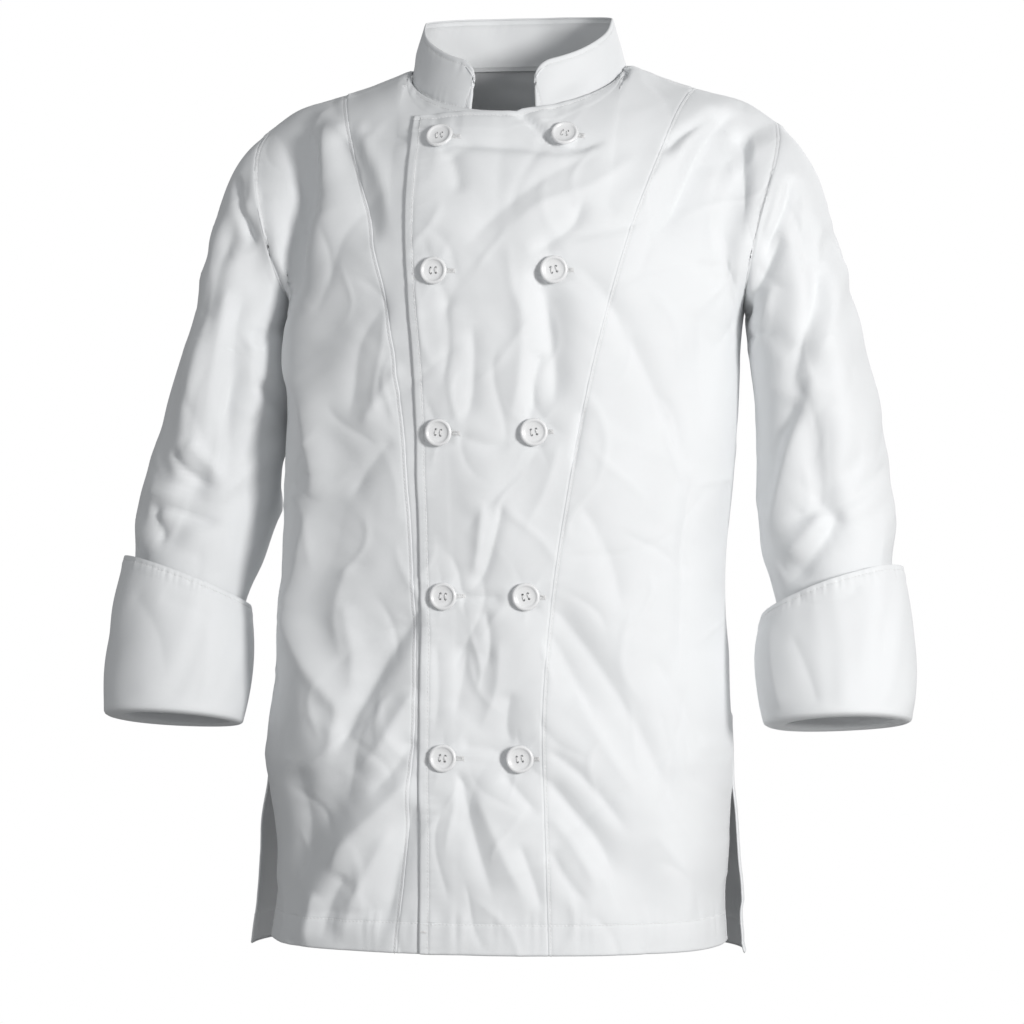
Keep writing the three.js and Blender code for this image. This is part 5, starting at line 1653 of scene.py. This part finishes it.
def run_tree(obj, tree, **values):
    """Runs a geometry tree on an object and keeps its result as the mesh."""
    modifier = obj.modifiers.new("shape", "NODES")
    modifier.node_group = tree
    sockets = {item.name: item.identifier for item in tree.interface.items_tree
               if item.in_out == "INPUT"}
    for name, value in values.items():
        modifier[sockets[name]] = value
    return applied(obj)


def paths_object(name, paths):
    """An object whose mesh is only lines, one for each path."""
    verts, edges = [], []
    for path in paths:
        first = len(verts)
        verts.extend(path.tolist())
        edges.extend((first + i, first + i + 1) for i in range(len(path) - 1))
    mesh = bpy.data.meshes.new(name)
    mesh.from_pydata(verts, edges, [])
    return placed(name, mesh)


class JACKET_OT_stitches(bpy.types.Operator):
    """Sews the edges, hems and seams"""

    bl_idname = "jacket.stitches"
    bl_label = "Stitches"

    def execute(self, context):
        s = settings()
        paths = []
        for name, edge, distance, start, end in STITCH_LINES:
            points, normals = MADE[name].line(edge, distance, start, end)
            paths.append(points + normals * (WALL / 2 + STITCH_LIFT))
        obj = paths_object("seam_stitches", paths)
        run_tree(obj, stitch_tree(), Pitch=s.stitch_pitch, Thickness=s.thread_radius,
                 Share=0.8, Thread=thread_material())
        smoothed(obj.data)
        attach(obj, "root")
        return {"FINISHED"}


# Camera: the photo is taken level, a little to the jacket's left of straight on.
CAMERA_TURN = math.radians(8.5)
CAMERA_FAR = 2.8
CAMERA_HEIGHT = -0.381
CAMERA_SIDE = -0.0065
FRAME_WIDTH = 0.865e-3 * 1024
SENSOR = 0.036
FLOOR_Z = -1.42
FLOOR_REACH = 3.2
FLOOR_GREYS = (0.30, 0.34)


class JACKET_OT_stage(bpy.types.Operator):
    """Makes the camera, the lights and the floor"""

    bl_idname = "jacket.stage"
    bl_label = "Stage"

    def execute(self, context):
        scene = context.scene
        s = settings()
        data = bpy.data.cameras.new("camera")
        data.sensor_width = SENSOR * 1000
        data.lens = data.sensor_width * CAMERA_FAR / FRAME_WIDTH
        camera = bpy.data.objects.new("camera", data)
        scene.collection.objects.link(camera)
        right = Vector((math.cos(CAMERA_TURN), math.sin(CAMERA_TURN), 0))
        ahead = Vector((-math.sin(CAMERA_TURN), math.cos(CAMERA_TURN), 0))
        aim = right * CAMERA_SIDE + Vector((0, 0, CAMERA_HEIGHT))
        camera.location = aim - ahead * CAMERA_FAR
        camera.rotation_euler = ahead.to_track_quat("-Z", "Y").to_euler()
        scene.camera = camera
        scene.view_settings.view_transform = "Standard"
        self.lamp("key_light", (1.95, -2.1, 0.0), 0.6, s.key_power, (1.0, 0.99, 0.98))
        self.lamp("fill_light", (-1.3, -2.9, 0.6), 2.0, s.fill_power, (0.97, 0.985, 1.0))
        self.lamp("back_light", (1.2, 2.4, 1.2), 1.6, s.back_power, (1.0, 1.0, 1.0))
        world = bpy.data.worlds.new("studio")
        scene.world = world
        world.use_nodes = True
        tree = world.node_tree
        room = tree.nodes["Background"]
        room.inputs["Color"].default_value = (0.97, 0.985, 1.0, 1)
        room.inputs["Strength"].default_value = s.room_light
        backdrop = tree.nodes.new("ShaderNodeBackground")
        backdrop.inputs["Color"].default_value = (1, 1, 1, 1)
        backdrop.inputs["Strength"].default_value = 1.0
        seen = tree.nodes.new("ShaderNodeLightPath")
        choose = tree.nodes.new("ShaderNodeMixShader")
        tree.links.new(seen.outputs["Is Camera Ray"], choose.inputs[0])
        tree.links.new(room.outputs[0], choose.inputs[1])
        tree.links.new(backdrop.outputs[0], choose.inputs[2])
        tree.links.new(choose.outputs[0], tree.nodes["World Output"].inputs["Surface"])
        mesh = bpy.data.meshes.new("floor")
        corners = [(FLOOR_REACH * math.cos(a), FLOOR_REACH * math.sin(a), FLOOR_Z)
                   for a in np.linspace(0, 2 * math.pi, 97)[:-1]]
        mesh.from_pydata(corners, [], [list(range(len(corners)))])
        floor = placed("floor", mesh)
        finish = Finish("pale_floor")
        noise = finish.noise(3.0, 4.0)
        finish.feed("Base Color", finish.mix_colours(noise, *((grey,) * 3 for grey in FLOOR_GREYS)))
        finish.feed("Roughness", 0.6 + noise * 0.2)
        mesh.materials.append(finish.material)
        return {"FINISHED"}

    def lamp(self, name, place, size, power, colour):
        data = bpy.data.lights.new(name, "AREA")
        data.shape = "DISK"
        data.size = size
        data.energy = power
        data.color = colour
        lamp = bpy.data.objects.new(name, data)
        bpy.context.scene.collection.objects.link(lamp)
        lamp.location = place
        aim = Vector((0, 0, CAMERA_HEIGHT)) - lamp.location
        lamp.rotation_euler = aim.to_track_quat("-Z", "Y").to_euler()


def colour(name, description, value):
    return FloatVectorProperty(name=name, description=description, subtype="COLOR", size=3,
                               default=value)


def amount(name, description, value, subtype="NONE"):
    return FloatProperty(name=name, description=description, subtype=subtype, default=value)


class JacketSettings(bpy.types.PropertyGroup):
    """Sizes and colours of the jacket that a user would change"""

    cloth_colour: colour("Cloth colour", "Lighter tone of the cotton", (0.855, 0.872, 0.885))
    cloth_shade: colour("Cloth shade", "Darker tone of the cotton", (0.80, 0.812, 0.822))
    thread_colour: colour("Thread colour", "Colour of the sewing thread", (0.88, 0.88, 0.88))
    button_colour: colour("Button colour", "Colour of the buttons", (0.88, 0.885, 0.89))
    twill_pitch: amount("Twill pitch", "Distance between the twill's ribs", 0.0007, "DISTANCE")
    weave_height: amount("Weave height", "Depth of the weave's relief", 0.00006, "DISTANCE")
    stitch_pitch: amount("Stitch pitch", "Distance from stitch to stitch", 0.0032, "DISTANCE")
    thread_radius: amount("Thread radius", "Half the thread's thickness", 0.00034, "DISTANCE")
    key_power: amount("Key light", "Power of the main light", 58.0, "POWER")
    fill_power: amount("Fill light", "Power of the light from the front", 12.0, "POWER")
    back_power: amount("Back light", "Power of the light from behind", 40.0, "POWER")
    room_light: amount("Room light", "Strength of the pale surroundings", 0.28)


class JACKET_PT_panel(bpy.types.Panel):
    """Lists the steps that make the jacket"""

    bl_idname = "JACKET_PT_panel"
    bl_label = "Chef jacket"
    bl_space_type = "VIEW_3D"
    bl_region_type = "UI"
    bl_category = "Jacket"

    def draw(self, context):
        for step in STEPS:
            self.layout.operator(step.bl_idname)
        for name in JacketSettings.__annotations__:
            self.layout.prop(settings(), name)


STEPS = (
    JACKET_OT_stage,
    JACKET_OT_fronts,
    JACKET_OT_back,
    JACKET_OT_sleeves,
    JACKET_OT_cuffs,
    JACKET_OT_collar,
    JACKET_OT_buttons,
    JACKET_OT_buttonholes,
    JACKET_OT_stitches,
)
CLASSES = (JacketSettings, *STEPS, JACKET_PT_panel)


def register():
    for cls in CLASSES:
        bpy.utils.register_class(cls)
    bpy.types.Scene.jacket = PointerProperty(type=JacketSettings)


def unregister():
    del bpy.types.Scene.jacket
    for cls in reversed(CLASSES):
        bpy.utils.unregister_class(cls)


def main():
    register()
    for step in STEPS:
        group, name = step.bl_idname.split(".")
        getattr(getattr(bpy.ops, group), name)()


if __name__ == "__main__":
    main()
